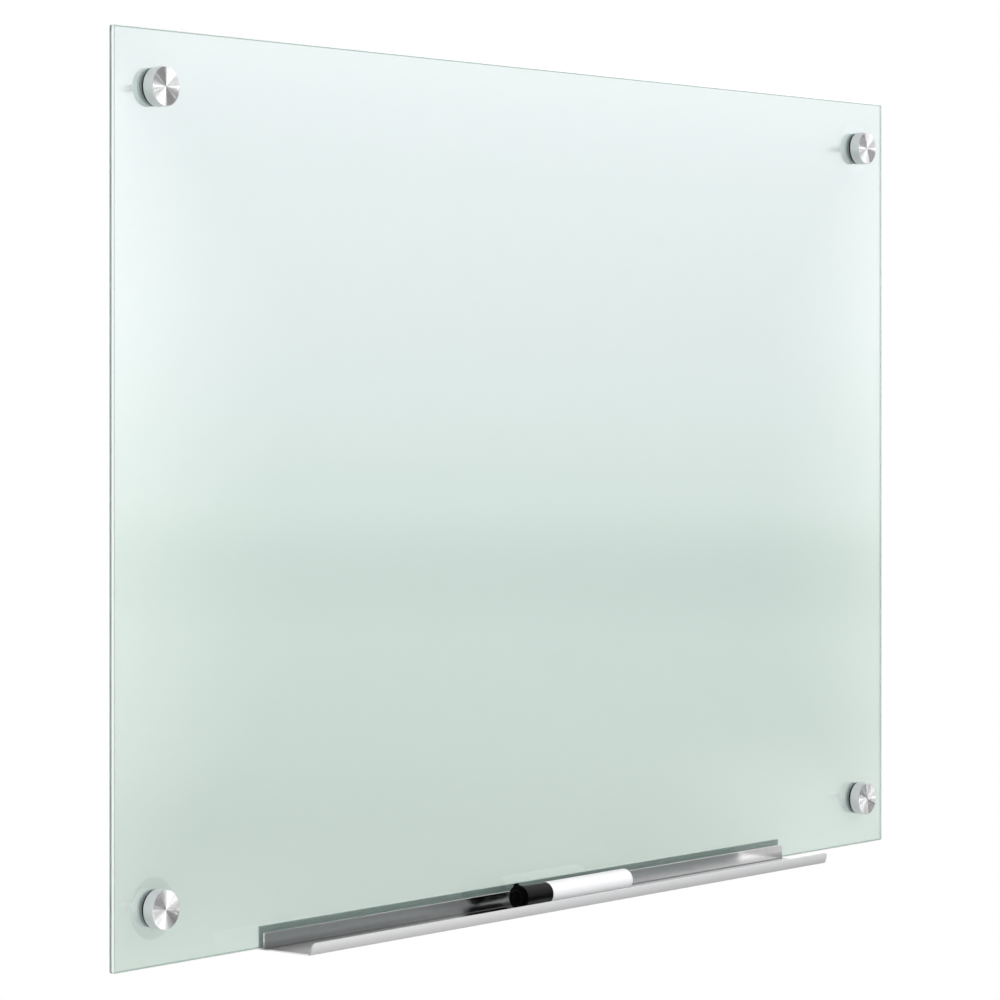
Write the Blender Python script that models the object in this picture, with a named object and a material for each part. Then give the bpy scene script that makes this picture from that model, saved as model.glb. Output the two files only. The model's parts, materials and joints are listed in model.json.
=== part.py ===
"""Glass whiteboard on four wall standoffs, with a marker tray on its bottom edge and one marker.

Units are metres and +Z is up. The board faces -Y. The origin lies on the wall plane, at the centre of
the four standoffs, so the wall is the plane Y = 0 and everything but the wall screws is at Y < 0.
"""

import math

import bmesh
import bpy
from mathutils import Matrix, Vector

# Lengths and fits that many pieces share
SEAT_GAP = 0.0003
OVERRUN = 0.002

# Glass panel
GLASS_WIDTH = 0.9144
GLASS_HEIGHT = 0.6096
GLASS_THICKNESS = 0.004
GLASS_CORNER_RADIUS = 0.002
GLASS_ARRIS = 0.0004
STANDOFF_INSET = 0.0381

# Hollow stud on the barrel's base, which sets the bores that it runs through
STUD_RADIUS = 0.006
STUD_HOLLOW_RADIUS = 0.0044
STUD_IN_CAP = 0.0055
STUD_CHAMFER = 0.0006

# Cap
CAP_RADIUS = 0.013
CAP_LENGTH = 0.0083
CAP_FRONT_CHAMFER = 0.0005
CAP_REAR_CHAMFER = 0.0003
CAP_REAR_RECESS = 0.0004
CAP_REAR_RIM = 0.0025

# Washers and hole sleeve
FRONT_WASHER_RADIUS = 0.0126
FRONT_WASHER_THICKNESS = 0.0014
REAR_WASHER_RADIUS = 0.0125
REAR_WASHER_THICKNESS = 0.001
WASHER_EDGE = 0.0003
SLEEVE_WALL = 0.0009

# Barrel against the wall
BARREL_RADIUS = 0.0125
BARREL_LENGTH = 0.0047
BARREL_BASE = 0.0016
BARREL_CHAMFER = 0.0004

# Wall screw, whose head lies inside the stud
SCREW_SHANK_RADIUS = 0.0023
SCREW_LENGTH = 0.025
SCREW_TIP_LENGTH = 0.005
SCREW_HEAD_RADIUS = 0.004
SCREW_HEAD_HEIGHT = 0.0024
SCREW_HEAD_EDGE = 0.001

# Marker tray, an extrusion. Distances forward are from the glass's front, heights from its bottom edge
TRAY_LENGTH = 0.6211
TRAY_SHIFT = -0.0032
TRAY_FLOOR_THICKNESS = 0.0009
TRAY_WALL_THICKNESS = 0.0012
TRAY_LIP_THICKNESS = 0.001
TRAY_FLANGE_HEIGHT = 0.0104
TRAY_REAR_HEIGHT = 0.0144
TRAY_REACH = 0.0448
TRAY_LIP_HEIGHT = 0.007
TRAY_LIP_LEAN = math.radians(16)
TRAY_BEND_RADIUS = 0.0022
TRAY_REAR_BEND_RADIUS = 0.0008
TRAY_FLANGE_FILLET = 0.001
TRAY_LIP_CORNER_RADIUS = 0.0032
TRAY_WALL_CORNER_RADIUS = 0.0006

# Ribbed grip strip between the glass and the tray's rear wall
STRIP_HEIGHT = 0.0128
STRIP_BASE = 0.0005
STRIP_RIB = 0.0006
STRIP_RIBS = 5
STRIP_END_SETBACK = 0.0004

# Marker, along X from its cap's end. Distances along it are from that end
MARKER_SHIFT = -0.0657
MARKER_FORWARD = 0.0217
MARKER_LENGTH = 0.133
MARKER_RADIUS = 0.008
MARKER_BORE_RADIUS = 0.0056
MARKER_NECK_RADIUS = 0.0067
MARKER_NECK_LENGTH = 0.015
MARKER_NECK_LEAD = 0.0006
MARKER_CAP_LENGTH = 0.0348
MARKER_CAP_MOUTH_RADIUS = 0.0082
MARKER_CAP_BODY_RADIUS = 0.0085
MARKER_CAP_FLANGE_RADIUS = 0.009
MARKER_CAP_FLANGE_THICKNESS = 0.0016
MARKER_CAP_EDGE = 0.0004
MARKER_CAP_BOSS_RADIUS = 0.0058
MARKER_CAP_BOSS_LENGTH = 0.0038
MARKER_CAP_RECESS_RADIUS = 0.0046
MARKER_CAP_RECESS_DEPTH = 0.0014
MARKER_CAP_NUB_RADIUS = 0.0013
MARKER_CAP_NUB_HEIGHT = 0.0009
MARKER_CAP_END_WALL = 0.0016
MARKER_CAP_INNER_RADIUS = 0.0056
MARKER_CAP_INNER_LENGTH = 0.0135
MARKER_CAP_TAB_WIDTH = 0.0046
MARKER_CAP_TAB_HEIGHT = 0.0014
MARKER_CAP_TAB_TILT = math.radians(18)
MARKER_PLUG_LENGTH = 0.009
MARKER_PLUG_HEAD = 0.0016
MARKER_PLUG_EDGE = 0.0012
HOLDER_FLANGE = 0.0015
HOLDER_PLUG_LENGTH = 0.008
HOLDER_CONE_LENGTH = 0.0065
HOLDER_CONE_RADIUS = 0.0049
HOLDER_TIP_RADIUS = 0.0034
NIB_RADIUS = 0.0022
NIB_REACH = 0.005
NIB_BULLET_LENGTH = 0.0022

# How finely round shapes are cut
CAP_SIDES = 40
WASHER_SIDES = 32
STUD_SIDES = 20
SCREW_SIDES = 20
MARKER_SIDES = 32
ARC_STEPS = 4
BEND_STEPS = 2
ARRIS_STEPS = 1

# Angles over which an edge is shaded hard or is ground
HARD_EDGE = math.radians(32)
ARRIS_EDGE = math.radians(60)

# Points nearer than this are one
MERGE_DISTANCE = 1e-6

# Places along Y that the stack from the wall sets
REAR_WASHER_BACK = BARREL_LENGTH + SEAT_GAP
GLASS_BACK = REAR_WASHER_BACK + REAR_WASHER_THICKNESS + SEAT_GAP
GLASS_FRONT = GLASS_BACK + GLASS_THICKNESS
FRONT_WASHER_BACK = GLASS_FRONT + SEAT_GAP
CAP_BACK = FRONT_WASHER_BACK + FRONT_WASHER_THICKNESS + SEAT_GAP
STUD_FOOT = BARREL_BASE + SEAT_GAP
STUD_TIP = CAP_BACK + STUD_IN_CAP

# Bores that the stud and the screw set
STUD_BORE_RADIUS = STUD_RADIUS + SEAT_GAP
SLEEVE_RADIUS = STUD_BORE_RADIUS + SLEEVE_WALL
GLASS_HOLE_RADIUS = SLEEVE_RADIUS + SEAT_GAP
SCREW_HOLE_RADIUS = SCREW_SHANK_RADIUS + SEAT_GAP

# Where the tray's floor and the marker's axis lie
GLASS_BOTTOM = -GLASS_HEIGHT / 2
TRAY_FLOOR_TOP = -SEAT_GAP
TRAY_FLOOR_UNDER = TRAY_FLOOR_TOP - TRAY_FLOOR_THICKNESS
MARKER_AXIS_HEIGHT = TRAY_FLOOR_TOP + SEAT_GAP + MARKER_CAP_FLANGE_RADIUS

CORNERS = {
    "top_left": (-1, 1),
    "top_right": (1, 1),
    "bottom_left": (-1, -1),
    "bottom_right": (1, -1),
}
FACING_OUT = (math.pi / 2, 0, 0)
FACING_RIGHT = (0, math.pi / 2, 0)


def clear_scene():
    """Removes the objects and meshes of the startup scene."""
    for obj in list(bpy.data.objects):
        bpy.data.objects.remove(obj, do_unlink=True)
    for mesh in list(bpy.data.meshes):
        bpy.data.meshes.remove(mesh)


def material(name, colour, roughness, metallic=0.0, alpha=1.0, transmission=0.0):
    """A Principled BSDF material."""
    made = bpy.data.materials.new(name)
    made.use_nodes = True
    shader = made.node_tree.nodes["Principled BSDF"]
    shader.inputs["Base Color"].default_value = (*colour, 1.0)
    shader.inputs["Roughness"].default_value = roughness
    shader.inputs["Metallic"].default_value = metallic
    shader.inputs["Alpha"].default_value = alpha
    shader.inputs["Transmission Weight"].default_value = transmission
    made.diffuse_color = (*colour, 1.0)
    return made


def materials():
    """The finishes, by name."""
    return {
        "glass": material("frosted_glass", (0.72, 0.83, 0.79), 0.08, transmission=0.3),
        "cap": material("turned_steel", (0.62, 0.62, 0.63), 0.25, metallic=1.0),
        "stud": material("plain_steel", (0.5, 0.5, 0.5), 0.35, metallic=1.0),
        "washer": material("black_rubber", (0.02, 0.022, 0.022), 0.6),
        "sleeve": material("clear_nylon", (0.75, 0.76, 0.74), 0.45),
        "barrel": material("turned_barrel", (0.58, 0.58, 0.59), 0.3, metallic=1.0),
        "screw": material("zinc_screw", (0.55, 0.53, 0.48), 0.35, metallic=1.0),
        "tray": material("anodised_aluminium", (0.56, 0.57, 0.57), 0.38, metallic=1.0),
        "strip": material("grip_rubber", (0.03, 0.035, 0.033), 0.75),
        "white": material("white_plastic", (0.86, 0.87, 0.87), 0.3),
        "black": material("black_plastic", (0.012, 0.012, 0.013), 0.32),
        "felt": material("inked_felt", (0.02, 0.02, 0.022), 0.9),
        "fibre": material("ink_fibre", (0.6, 0.6, 0.6), 0.9),
    }


def add_object(name, mesh_data, finish, location=(0, 0, 0), rotation=(0, 0, 0), parent=None):
    """Puts a bmesh into the scene as an object, shaded smooth between its hard edges."""
    mesh = bpy.data.meshes.new(name)
    bmesh.ops.recalc_face_normals(mesh_data, faces=mesh_data.faces)
    mesh_data.to_mesh(mesh)
    mesh_data.free()
    mesh.shade_smooth()
    mesh.set_sharp_from_angle(angle=HARD_EDGE)
    obj = bpy.data.objects.new(name, mesh)
    bpy.context.collection.objects.link(obj)
    obj.location = location
    obj.rotation_euler = rotation
    obj.parent = parent
    if finish:
        mesh.materials.append(finish)
    return obj


def pivot(name, location, parent=None):
    """An empty that carries the pieces of one moving body."""
    empty = bpy.data.objects.new(name, None)
    empty.empty_display_size = CAP_RADIUS
    bpy.context.collection.objects.link(empty)
    empty.location = location
    empty.parent = parent
    return empty


def as_cutter(obj):
    """Hides a helper that only cuts or joins another piece."""
    obj.hide_render = True
    obj.display_type = "WIRE"
    return obj


def boolean(obj, helper, operation):
    """Cuts a helper from a piece, or joins it to the piece."""
    modifier = obj.modifiers.new(f"{operation.lower()}_{helper.name}", "BOOLEAN")
    modifier.operation = operation
    modifier.solver = "EXACT"
    modifier.object = as_cutter(helper)


def arc(centre, radius, start, end, steps=ARC_STEPS):
    """Points along an arc in a plane, with both of its ends."""
    angles = [start + (end - start) * i / steps for i in range(steps + 1)]
    return [(centre[0] + radius * math.cos(a), centre[1] + radius * math.sin(a)) for a in angles]


def turned(outline, sides):
    """Spins an outline of (radius, height) points round the Z axis.

    An outline that starts and ends on the axis makes a solid, and any other is closed into a ring.
    """
    made = bmesh.new()
    points = [made.verts.new((radius, 0, height)) for radius, height in outline]
    on_axis = outline[0][0] == 0 and outline[-1][0] == 0
    pairs = list(zip(points, points[1:])) + ([] if on_axis else [(points[-1], points[0])])
    edges = [made.edges.new(pair) for pair in pairs]
    bmesh.ops.spin(
        made,
        geom=points + edges,
        cent=(0, 0, 0),
        axis=(0, 0, 1),
        angle=math.tau,
        steps=sides,
        use_merge=True,
    )
    bmesh.ops.remove_doubles(made, verts=made.verts, dist=MERGE_DISTANCE)
    return made


def extruded(outline, length):
    """Extrudes an outline of (Y, Z) points along X, centred on X = 0."""
    made = bmesh.new()
    start = [made.verts.new((-length / 2, y, z)) for y, z in outline]
    face = made.faces.new(start)
    moved = bmesh.ops.extrude_face_region(made, geom=[face])["geom"]
    end = [item for item in moved if isinstance(item, bmesh.types.BMVert)]
    bmesh.ops.translate(made, verts=end, vec=(length, 0, 0))
    return made


def round_end_corners(made, corner, radius, length):
    """Rounds an extrusion's two end corners at the edge across its wall between two (Y, Z) points."""
    near = radius / 2
    ends = [Vector((0, *point)) for point in corner]
    across = []
    for edge in made.edges:
        at_end = all(abs(abs(vert.co.x) - length / 2) < near / 2 for vert in edge.verts)
        flat = [Vector((0, vert.co.y, vert.co.z)) for vert in edge.verts]
        same = min((flat[0] - ends[0]).length, (flat[0] - ends[1]).length) < near / 4
        other = min((flat[1] - ends[0]).length, (flat[1] - ends[1]).length) < near / 4
        if at_end and same and other and (flat[0] - flat[1]).length > near / 2:
            across.append(edge)
    bmesh.ops.bevel(
        made,
        geom=across,
        offset=radius,
        segments=ARC_STEPS,
        profile=0.5,
        affect="EDGES",
        clamp_overlap=True,
    )


def corner_places():
    """Each standoff's corner with its X and Z."""
    across = GLASS_WIDTH / 2 - STANDOFF_INSET
    up = GLASS_HEIGHT / 2 - STANDOFF_INSET
    return {corner: (side * across, level * up) for corner, (side, level) in CORNERS.items()}


def build_glass(finish):
    """The glass plate with rounded corners, ground edges and a hole for each standoff."""
    half = (GLASS_WIDTH / 2 - GLASS_CORNER_RADIUS, GLASS_HEIGHT / 2 - GLASS_CORNER_RADIUS)
    quarter = math.pi / 2
    outline = []
    for turn, (side, level) in enumerate(((1, 1), (-1, 1), (-1, -1), (1, -1))):
        centre = (side * half[0], level * half[1])
        outline += arc(centre, GLASS_CORNER_RADIUS, turn * quarter, (turn + 1) * quarter)
    made = bmesh.new()
    back = [made.verts.new((x, -GLASS_BACK, z)) for x, z in outline]
    face = made.faces.new(back)
    moved = bmesh.ops.extrude_face_region(made, geom=[face])["geom"]
    front = [item for item in moved if isinstance(item, bmesh.types.BMVert)]
    bmesh.ops.translate(made, verts=front, vec=(0, -GLASS_THICKNESS, 0))
    glass = add_object("glass_panel", made, finish)
    arris = glass.modifiers.new("ground_edges", "BEVEL")
    arris.width = GLASS_ARRIS
    arris.segments = ARRIS_STEPS
    arris.limit_method = "ANGLE"
    arris.angle_limit = ARRIS_EDGE
    for corner, (x, z) in corner_places().items():
        length = GLASS_THICKNESS + 2 * OVERRUN
        outline = [(0, 0), (GLASS_HOLE_RADIUS, 0), (GLASS_HOLE_RADIUS, length), (0, length)]
        drill = add_object(
            f"drill_{corner}",
            turned(outline, WASHER_SIDES),
            None,
            (x, -GLASS_BACK + OVERRUN, z),
            FACING_OUT,
        )
        boolean(glass, drill, "DIFFERENCE")
    return glass


def ring(inner, outer, thickness, edge):
    """A washer's outline, with its outer edges eased."""
    return [
        (inner, 0),
        (inner, thickness),
        (outer - edge, thickness),
        (outer, thickness - edge),
        (outer, edge),
        (outer - edge, 0),
    ]


def build_fixed_standoff(corner, x, z, finishes):
    """The pieces of a standoff that stay on the wall and in the glass."""
    outer = BARREL_RADIUS - BARREL_CHAMFER
    barrel = [
        (SCREW_HOLE_RADIUS, 0),
        (SCREW_HOLE_RADIUS, BARREL_BASE),
        (STUD_BORE_RADIUS, BARREL_BASE),
        (STUD_BORE_RADIUS, BARREL_LENGTH),
        (outer, BARREL_LENGTH),
        (BARREL_RADIUS, BARREL_LENGTH - BARREL_CHAMFER),
        (BARREL_RADIUS, BARREL_CHAMFER),
        (outer, 0),
    ]
    add_object(
        f"standoff_barrel_{corner}",
        turned(barrel, CAP_SIDES),
        finishes["barrel"],
        (x, 0, z),
        FACING_OUT,
    )
    stud = [
        (STUD_HOLLOW_RADIUS, STUD_FOOT),
        (STUD_HOLLOW_RADIUS, STUD_TIP),
        (STUD_RADIUS - STUD_CHAMFER, STUD_TIP),
        (STUD_RADIUS, STUD_TIP - STUD_CHAMFER),
        (STUD_RADIUS, STUD_FOOT + STUD_CHAMFER),
        (STUD_RADIUS - STUD_CHAMFER, STUD_FOOT),
    ]
    add_object(
        f"standoff_stud_{corner}",
        turned(stud, STUD_SIDES),
        finishes["stud"],
        (x, 0, z),
        FACING_OUT,
    )
    washer = ring(STUD_BORE_RADIUS, REAR_WASHER_RADIUS, REAR_WASHER_THICKNESS, WASHER_EDGE)
    add_object(
        f"rear_washer_{corner}",
        turned(washer, WASHER_SIDES),
        finishes["sleeve"],
        (x, -REAR_WASHER_BACK, z),
        FACING_OUT,
    )
    sleeve = [
        (STUD_BORE_RADIUS, 0),
        (STUD_BORE_RADIUS, GLASS_THICKNESS),
        (SLEEVE_RADIUS, GLASS_THICKNESS),
        (SLEEVE_RADIUS, 0),
    ]
    add_object(
        f"hole_sleeve_{corner}",
        turned(sleeve, WASHER_SIDES),
        finishes["sleeve"],
        (x, -GLASS_BACK, z),
        FACING_OUT,
    )
    head = STUD_FOOT
    head_top = head + SCREW_HEAD_HEIGHT
    screw = [
        (0, head - SCREW_LENGTH),
        (SCREW_SHANK_RADIUS, head - SCREW_LENGTH + SCREW_TIP_LENGTH),
        (SCREW_SHANK_RADIUS, head),
        (SCREW_HEAD_RADIUS, head),
        (SCREW_HEAD_RADIUS, head_top - SCREW_HEAD_EDGE),
        (SCREW_HEAD_RADIUS - SCREW_HEAD_EDGE, head_top),
        (0, head_top),
    ]
    add_object(
        f"wall_screw_{corner}",
        turned(screw, SCREW_SIDES),
        finishes["screw"],
        (x, 0, z),
        FACING_OUT,
    )


def build_cap(corner, x, z, finishes):
    """The pieces of a standoff that come off: the washer, and the cap that unscrews."""
    washer_pivot = pivot(f"washer_travel_{corner}", (x, -FRONT_WASHER_BACK, z))
    washer = ring(STUD_BORE_RADIUS, FRONT_WASHER_RADIUS, FRONT_WASHER_THICKNESS, WASHER_EDGE)
    add_object(
        f"front_washer_{corner}",
        turned(washer, WASHER_SIDES),
        finishes["washer"],
        rotation=FACING_OUT,
        parent=washer_pivot,
    )
    cap_pivot = pivot(f"cap_turn_{corner}", (0, FRONT_WASHER_BACK - CAP_BACK, 0), washer_pivot)
    face = CAP_RADIUS - CAP_FRONT_CHAMFER
    recess = CAP_RADIUS - CAP_REAR_RIM
    hole_depth = STUD_IN_CAP + SEAT_GAP
    cap = [
        (0, hole_depth),
        (STUD_BORE_RADIUS, hole_depth),
        (STUD_BORE_RADIUS, CAP_REAR_RECESS),
        (recess, CAP_REAR_RECESS),
        (recess, 0),
        (CAP_RADIUS - CAP_REAR_CHAMFER, 0),
        (CAP_RADIUS, CAP_REAR_CHAMFER),
        (CAP_RADIUS, CAP_LENGTH - CAP_FRONT_CHAMFER),
        (face, CAP_LENGTH),
        (0, CAP_LENGTH),
    ]
    add_object(
        f"standoff_cap_{corner}",
        turned(cap, CAP_SIDES),
        finishes["cap"],
        rotation=FACING_OUT,
        parent=cap_pivot,
    )


def tray_section():
    """The tray's section as (forward, height) points, and the ends of its lip, flange and rear wall."""
    up = math.pi / 2
    wall_rear = -(GLASS_THICKNESS + 2 * SEAT_GAP + STRIP_BASE + STRIP_RIB)
    wall_back = wall_rear - TRAY_WALL_THICKNESS
    flange_back = SEAT_GAP
    flange_front = flange_back + TRAY_WALL_THICKNESS
    lean = Vector((math.sin(TRAY_LIP_LEAN), math.cos(TRAY_LIP_LEAN)))
    outward = Vector((lean.y, -lean.x))
    lip_outer = Vector((TRAY_REACH, TRAY_LIP_HEIGHT))
    lip_inner = lip_outer - outward * TRAY_LIP_THICKNESS
    inner_radius = TRAY_BEND_RADIUS - TRAY_LIP_THICKNESS
    bend_height = TRAY_FLOOR_UNDER + TRAY_BEND_RADIUS
    # the bend's centre is one radius above the underside and one radius behind the lip's outer face
    along = (bend_height - lip_outer.y - (-outward.y) * TRAY_BEND_RADIUS) / lean.y
    bend = lip_outer + lean * along - outward * TRAY_BEND_RADIUS
    floor_bend_radius = bend.y - TRAY_FLOOR_TOP
    rear_bend = (wall_back + TRAY_REAR_BEND_RADIUS, TRAY_FLOOR_UNDER + TRAY_REAR_BEND_RADIUS)
    fillet = (flange_front + TRAY_FLANGE_FILLET, TRAY_FLOOR_TOP + TRAY_FLANGE_FILLET)
    section = [(wall_rear, TRAY_REAR_HEIGHT), (wall_back, TRAY_REAR_HEIGHT)]
    section += arc(rear_bend, TRAY_REAR_BEND_RADIUS, math.pi, math.pi + up)
    section += arc(bend, TRAY_BEND_RADIUS, -up, -TRAY_LIP_LEAN)
    section += [tuple(lip_outer), tuple(lip_inner)]
    section += arc(bend, inner_radius, -TRAY_LIP_LEAN, -up)[:-1]
    section += [(bend.x, bend.y - floor_bend_radius)]
    section += arc(fillet, TRAY_FLANGE_FILLET, -up, -math.pi)
    section += [(flange_front, TRAY_FLANGE_HEIGHT), (flange_back, TRAY_FLANGE_HEIGHT)]
    section += [(flange_back, TRAY_FLOOR_TOP), (wall_rear, TRAY_FLOOR_TOP)]
    ends = {
        "lip": (tuple(lip_outer), tuple(lip_inner)),
        "flange": ((flange_front, TRAY_FLANGE_HEIGHT), (flange_back, TRAY_FLANGE_HEIGHT)),
        "rear": ((wall_rear, TRAY_REAR_HEIGHT), (wall_back, TRAY_REAR_HEIGHT)),
    }
    return section, ends, wall_rear


def place_under_glass(point):
    """A (forward, height) point of the tray as its Y and Z under the tray's own origin."""
    return (-point[0], point[1])


def build_tray(finishes):
    """The tray and its grip strip, on an empty at the middle of the glass's bottom edge."""
    carrier = pivot("tray_travel", (TRAY_SHIFT, -GLASS_FRONT, GLASS_BOTTOM))
    section, ends, wall_rear = tray_section()
    made = extruded([place_under_glass(point) for point in section], TRAY_LENGTH)
    radii = {
        "lip": TRAY_LIP_CORNER_RADIUS,
        "flange": TRAY_WALL_CORNER_RADIUS,
        "rear": TRAY_WALL_CORNER_RADIUS,
    }
    for name, corner in ends.items():
        flat = [place_under_glass(point) for point in corner]
        round_end_corners(made, flat, radii[name], TRAY_LENGTH)
    add_object("marker_tray", made, finishes["tray"], parent=carrier)

    back = wall_rear + SEAT_GAP
    foot = TRAY_REAR_HEIGHT - STRIP_HEIGHT
    base = back + STRIP_BASE
    pitch = STRIP_HEIGHT / STRIP_RIBS
    strip = [(back, foot)]
    for rib in range(STRIP_RIBS):
        low = foot + rib * pitch
        strip += [(base, low), (base + STRIP_RIB, low + pitch / 2)]
    strip += [(base, foot + STRIP_HEIGHT), (back, foot + STRIP_HEIGHT)]
    made = extruded(
        [place_under_glass(point) for point in strip], TRAY_LENGTH - 2 * STRIP_END_SETBACK
    )
    add_object("tray_grip_strip", made, finishes["strip"], parent=carrier)
    return carrier


def marker_cap_outline():
    """The marker cap's outline from its outer end, round its mouth and back inside to its end wall."""
    flange = MARKER_CAP_BOSS_LENGTH
    flange_end = flange + MARKER_CAP_FLANGE_THICKNESS
    edge = MARKER_CAP_EDGE
    bore_radius = MARKER_NECK_RADIUS + SEAT_GAP
    inner_start = MARKER_CAP_RECESS_DEPTH + MARKER_CAP_END_WALL
    inner_end = inner_start + MARKER_CAP_INNER_LENGTH
    return [
        (0, MARKER_CAP_RECESS_DEPTH - MARKER_CAP_NUB_HEIGHT),
        (MARKER_CAP_NUB_RADIUS - edge, MARKER_CAP_RECESS_DEPTH - MARKER_CAP_NUB_HEIGHT),
        (MARKER_CAP_NUB_RADIUS, MARKER_CAP_RECESS_DEPTH),
        (MARKER_CAP_RECESS_RADIUS - edge, MARKER_CAP_RECESS_DEPTH),
        (MARKER_CAP_RECESS_RADIUS, 0),
        (MARKER_CAP_BOSS_RADIUS - edge, 0),
        (MARKER_CAP_BOSS_RADIUS, edge),
        (MARKER_CAP_BOSS_RADIUS, flange),
        (MARKER_CAP_FLANGE_RADIUS - edge, flange),
        (MARKER_CAP_FLANGE_RADIUS, flange + edge),
        (MARKER_CAP_FLANGE_RADIUS, flange_end - edge),
        (MARKER_CAP_BODY_RADIUS, flange_end),
        (MARKER_CAP_MOUTH_RADIUS, MARKER_CAP_LENGTH - edge),
        (MARKER_CAP_MOUTH_RADIUS - edge, MARKER_CAP_LENGTH),
        (bore_radius, MARKER_CAP_LENGTH),
        (bore_radius, inner_end),
        (MARKER_CAP_INNER_RADIUS, inner_end),
        (MARKER_CAP_INNER_RADIUS, inner_start),
        (0, inner_start),
    ]


def build_marker_cap(marker, finishes):
    """The cap, with the tab on its flange that stops the marker rolling."""
    cap = add_object(
        "marker_cap",
        turned(marker_cap_outline(), MARKER_SIDES),
        finishes["black"],
        rotation=FACING_RIGHT,
        parent=marker,
    )
    tab = bmesh.new()
    reach = MARKER_CAP_FLANGE_RADIUS + MARKER_CAP_TAB_HEIGHT
    root = MARKER_CAP_BODY_RADIUS - MARKER_CAP_EDGE
    size = Vector((MARKER_CAP_FLANGE_THICKNESS - MARKER_CAP_EDGE, MARKER_CAP_TAB_WIDTH, reach - root))
    bmesh.ops.create_cube(tab, size=1.0)
    bmesh.ops.scale(tab, verts=tab.verts, vec=size)
    middle = MARKER_CAP_BOSS_LENGTH + MARKER_CAP_FLANGE_THICKNESS / 2
    bmesh.ops.translate(tab, verts=tab.verts, vec=(middle, 0, (reach + root) / 2))
    top = [
        edge
        for edge in tab.edges
        if all(vert.co.z > reach - MARKER_CAP_EDGE for vert in edge.verts)
        and abs(edge.verts[0].co.y - edge.verts[1].co.y) < MARKER_CAP_EDGE
    ]
    bmesh.ops.bevel(
        tab,
        geom=top,
        offset=MARKER_CAP_TAB_HEIGHT / 2,
        segments=BEND_STEPS,
        profile=0.5,
        affect="EDGES",
    )
    # the tab leans towards the glass, which is at +Y from the marker
    bmesh.ops.transform(
        tab, verts=tab.verts, matrix=Matrix.Rotation(-MARKER_CAP_TAB_TILT, 4, "X")
    )
    boolean(cap, add_object("marker_cap_tab", tab, None, parent=marker), "UNION")


def build_marker(carrier, finishes):
    """The marker on an empty at its cap's end, on its own axis, above the tray's floor."""
    marker = pivot(
        "marker_lift",
        (MARKER_SHIFT - TRAY_SHIFT, -MARKER_FORWARD, MARKER_AXIS_HEIGHT),
        carrier,
    )
    build_marker_cap(marker, finishes)
    shoulder = MARKER_CAP_LENGTH + SEAT_GAP
    neck = shoulder - MARKER_NECK_LENGTH
    plug_head = MARKER_LENGTH - MARKER_PLUG_HEAD
    tube_end = plug_head - SEAT_GAP
    edge = MARKER_CAP_EDGE
    tube = [
        (MARKER_BORE_RADIUS, neck),
        (MARKER_BORE_RADIUS, tube_end),
        (MARKER_RADIUS, tube_end),
        (MARKER_RADIUS, shoulder + edge),
        (MARKER_RADIUS - edge, shoulder),
        (MARKER_NECK_RADIUS, shoulder),
        (MARKER_NECK_RADIUS, neck + MARKER_NECK_LEAD),
        (MARKER_NECK_RADIUS - MARKER_NECK_LEAD / 2, neck),
    ]
    plug_radius = MARKER_BORE_RADIUS - SEAT_GAP
    plug_start = plug_head - MARKER_PLUG_LENGTH
    corner = (MARKER_RADIUS - MARKER_PLUG_EDGE, MARKER_LENGTH - MARKER_PLUG_EDGE)
    plug_corner = arc(corner, MARKER_PLUG_EDGE, 0, math.pi / 2)
    plug = [
        (0, plug_start),
        (plug_radius, plug_start),
        (plug_radius, plug_head),
        (MARKER_RADIUS, plug_head),
        *plug_corner,
        (0, MARKER_LENGTH),
    ]
    holder_flange = neck - SEAT_GAP
    cone = holder_flange - HOLDER_FLANGE
    holder_end = holder_flange + HOLDER_PLUG_LENGTH
    nib_bore = NIB_RADIUS + SEAT_GAP
    holder = [
        (nib_bore, cone - HOLDER_CONE_LENGTH),
        (nib_bore, holder_end),
        (plug_radius, holder_end),
        (plug_radius, holder_flange),
        (MARKER_NECK_RADIUS - edge, holder_flange),
        (MARKER_NECK_RADIUS - edge, cone + edge),
        (HOLDER_CONE_RADIUS, cone),
        (HOLDER_TIP_RADIUS, cone - HOLDER_CONE_LENGTH),
    ]
    nib_tip = cone - HOLDER_CONE_LENGTH - NIB_REACH
    bullet = arc((0, nib_tip + NIB_BULLET_LENGTH), NIB_RADIUS, math.pi * 3 / 2, math.tau)
    nib = [(0, nib_tip + NIB_BULLET_LENGTH - NIB_RADIUS), *bullet[1:]]
    nib += [(NIB_RADIUS, holder_end), (0, holder_end)]
    fibre_start = holder_end + SEAT_GAP
    fibre_end = plug_start - SEAT_GAP
    fibre = [(0, fibre_start), (plug_radius, fibre_start), (plug_radius, fibre_end), (0, fibre_end)]
    pieces = {
        "marker_barrel": (tube, "white"),
        "marker_end_plug": (plug, "white"),
        "marker_nib_holder": (holder, "black"),
        "marker_nib": (nib, "felt"),
        "marker_reservoir": (fibre, "fibre"),
    }
    for name, (outline, finish) in pieces.items():
        add_object(
            name,
            turned(outline, MARKER_SIDES),
            finishes[finish],
            rotation=FACING_RIGHT,
            parent=marker,
        )


def main():
    """Builds every piece of the board."""
    clear_scene()
    finishes = materials()
    build_glass(finishes["glass"])
    for corner, (x, z) in corner_places().items():
        build_fixed_standoff(corner, x, z, finishes)
        build_cap(corner, x, z, finishes)
    carrier = build_tray(finishes)
    build_marker(carrier, finishes)


main()
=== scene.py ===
"""Looks of a glass whiteboard on four wall standoffs, with its marker tray and one marker.

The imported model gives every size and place. This script dresses it: it models finer turned, threaded
and moulded pieces over its solids, gives each surface its finish, and sets the studio.
"""

from __future__ import annotations

import json
import logging
import math
from dataclasses import dataclass
from enum import Enum
from typing import Any, Callable

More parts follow.
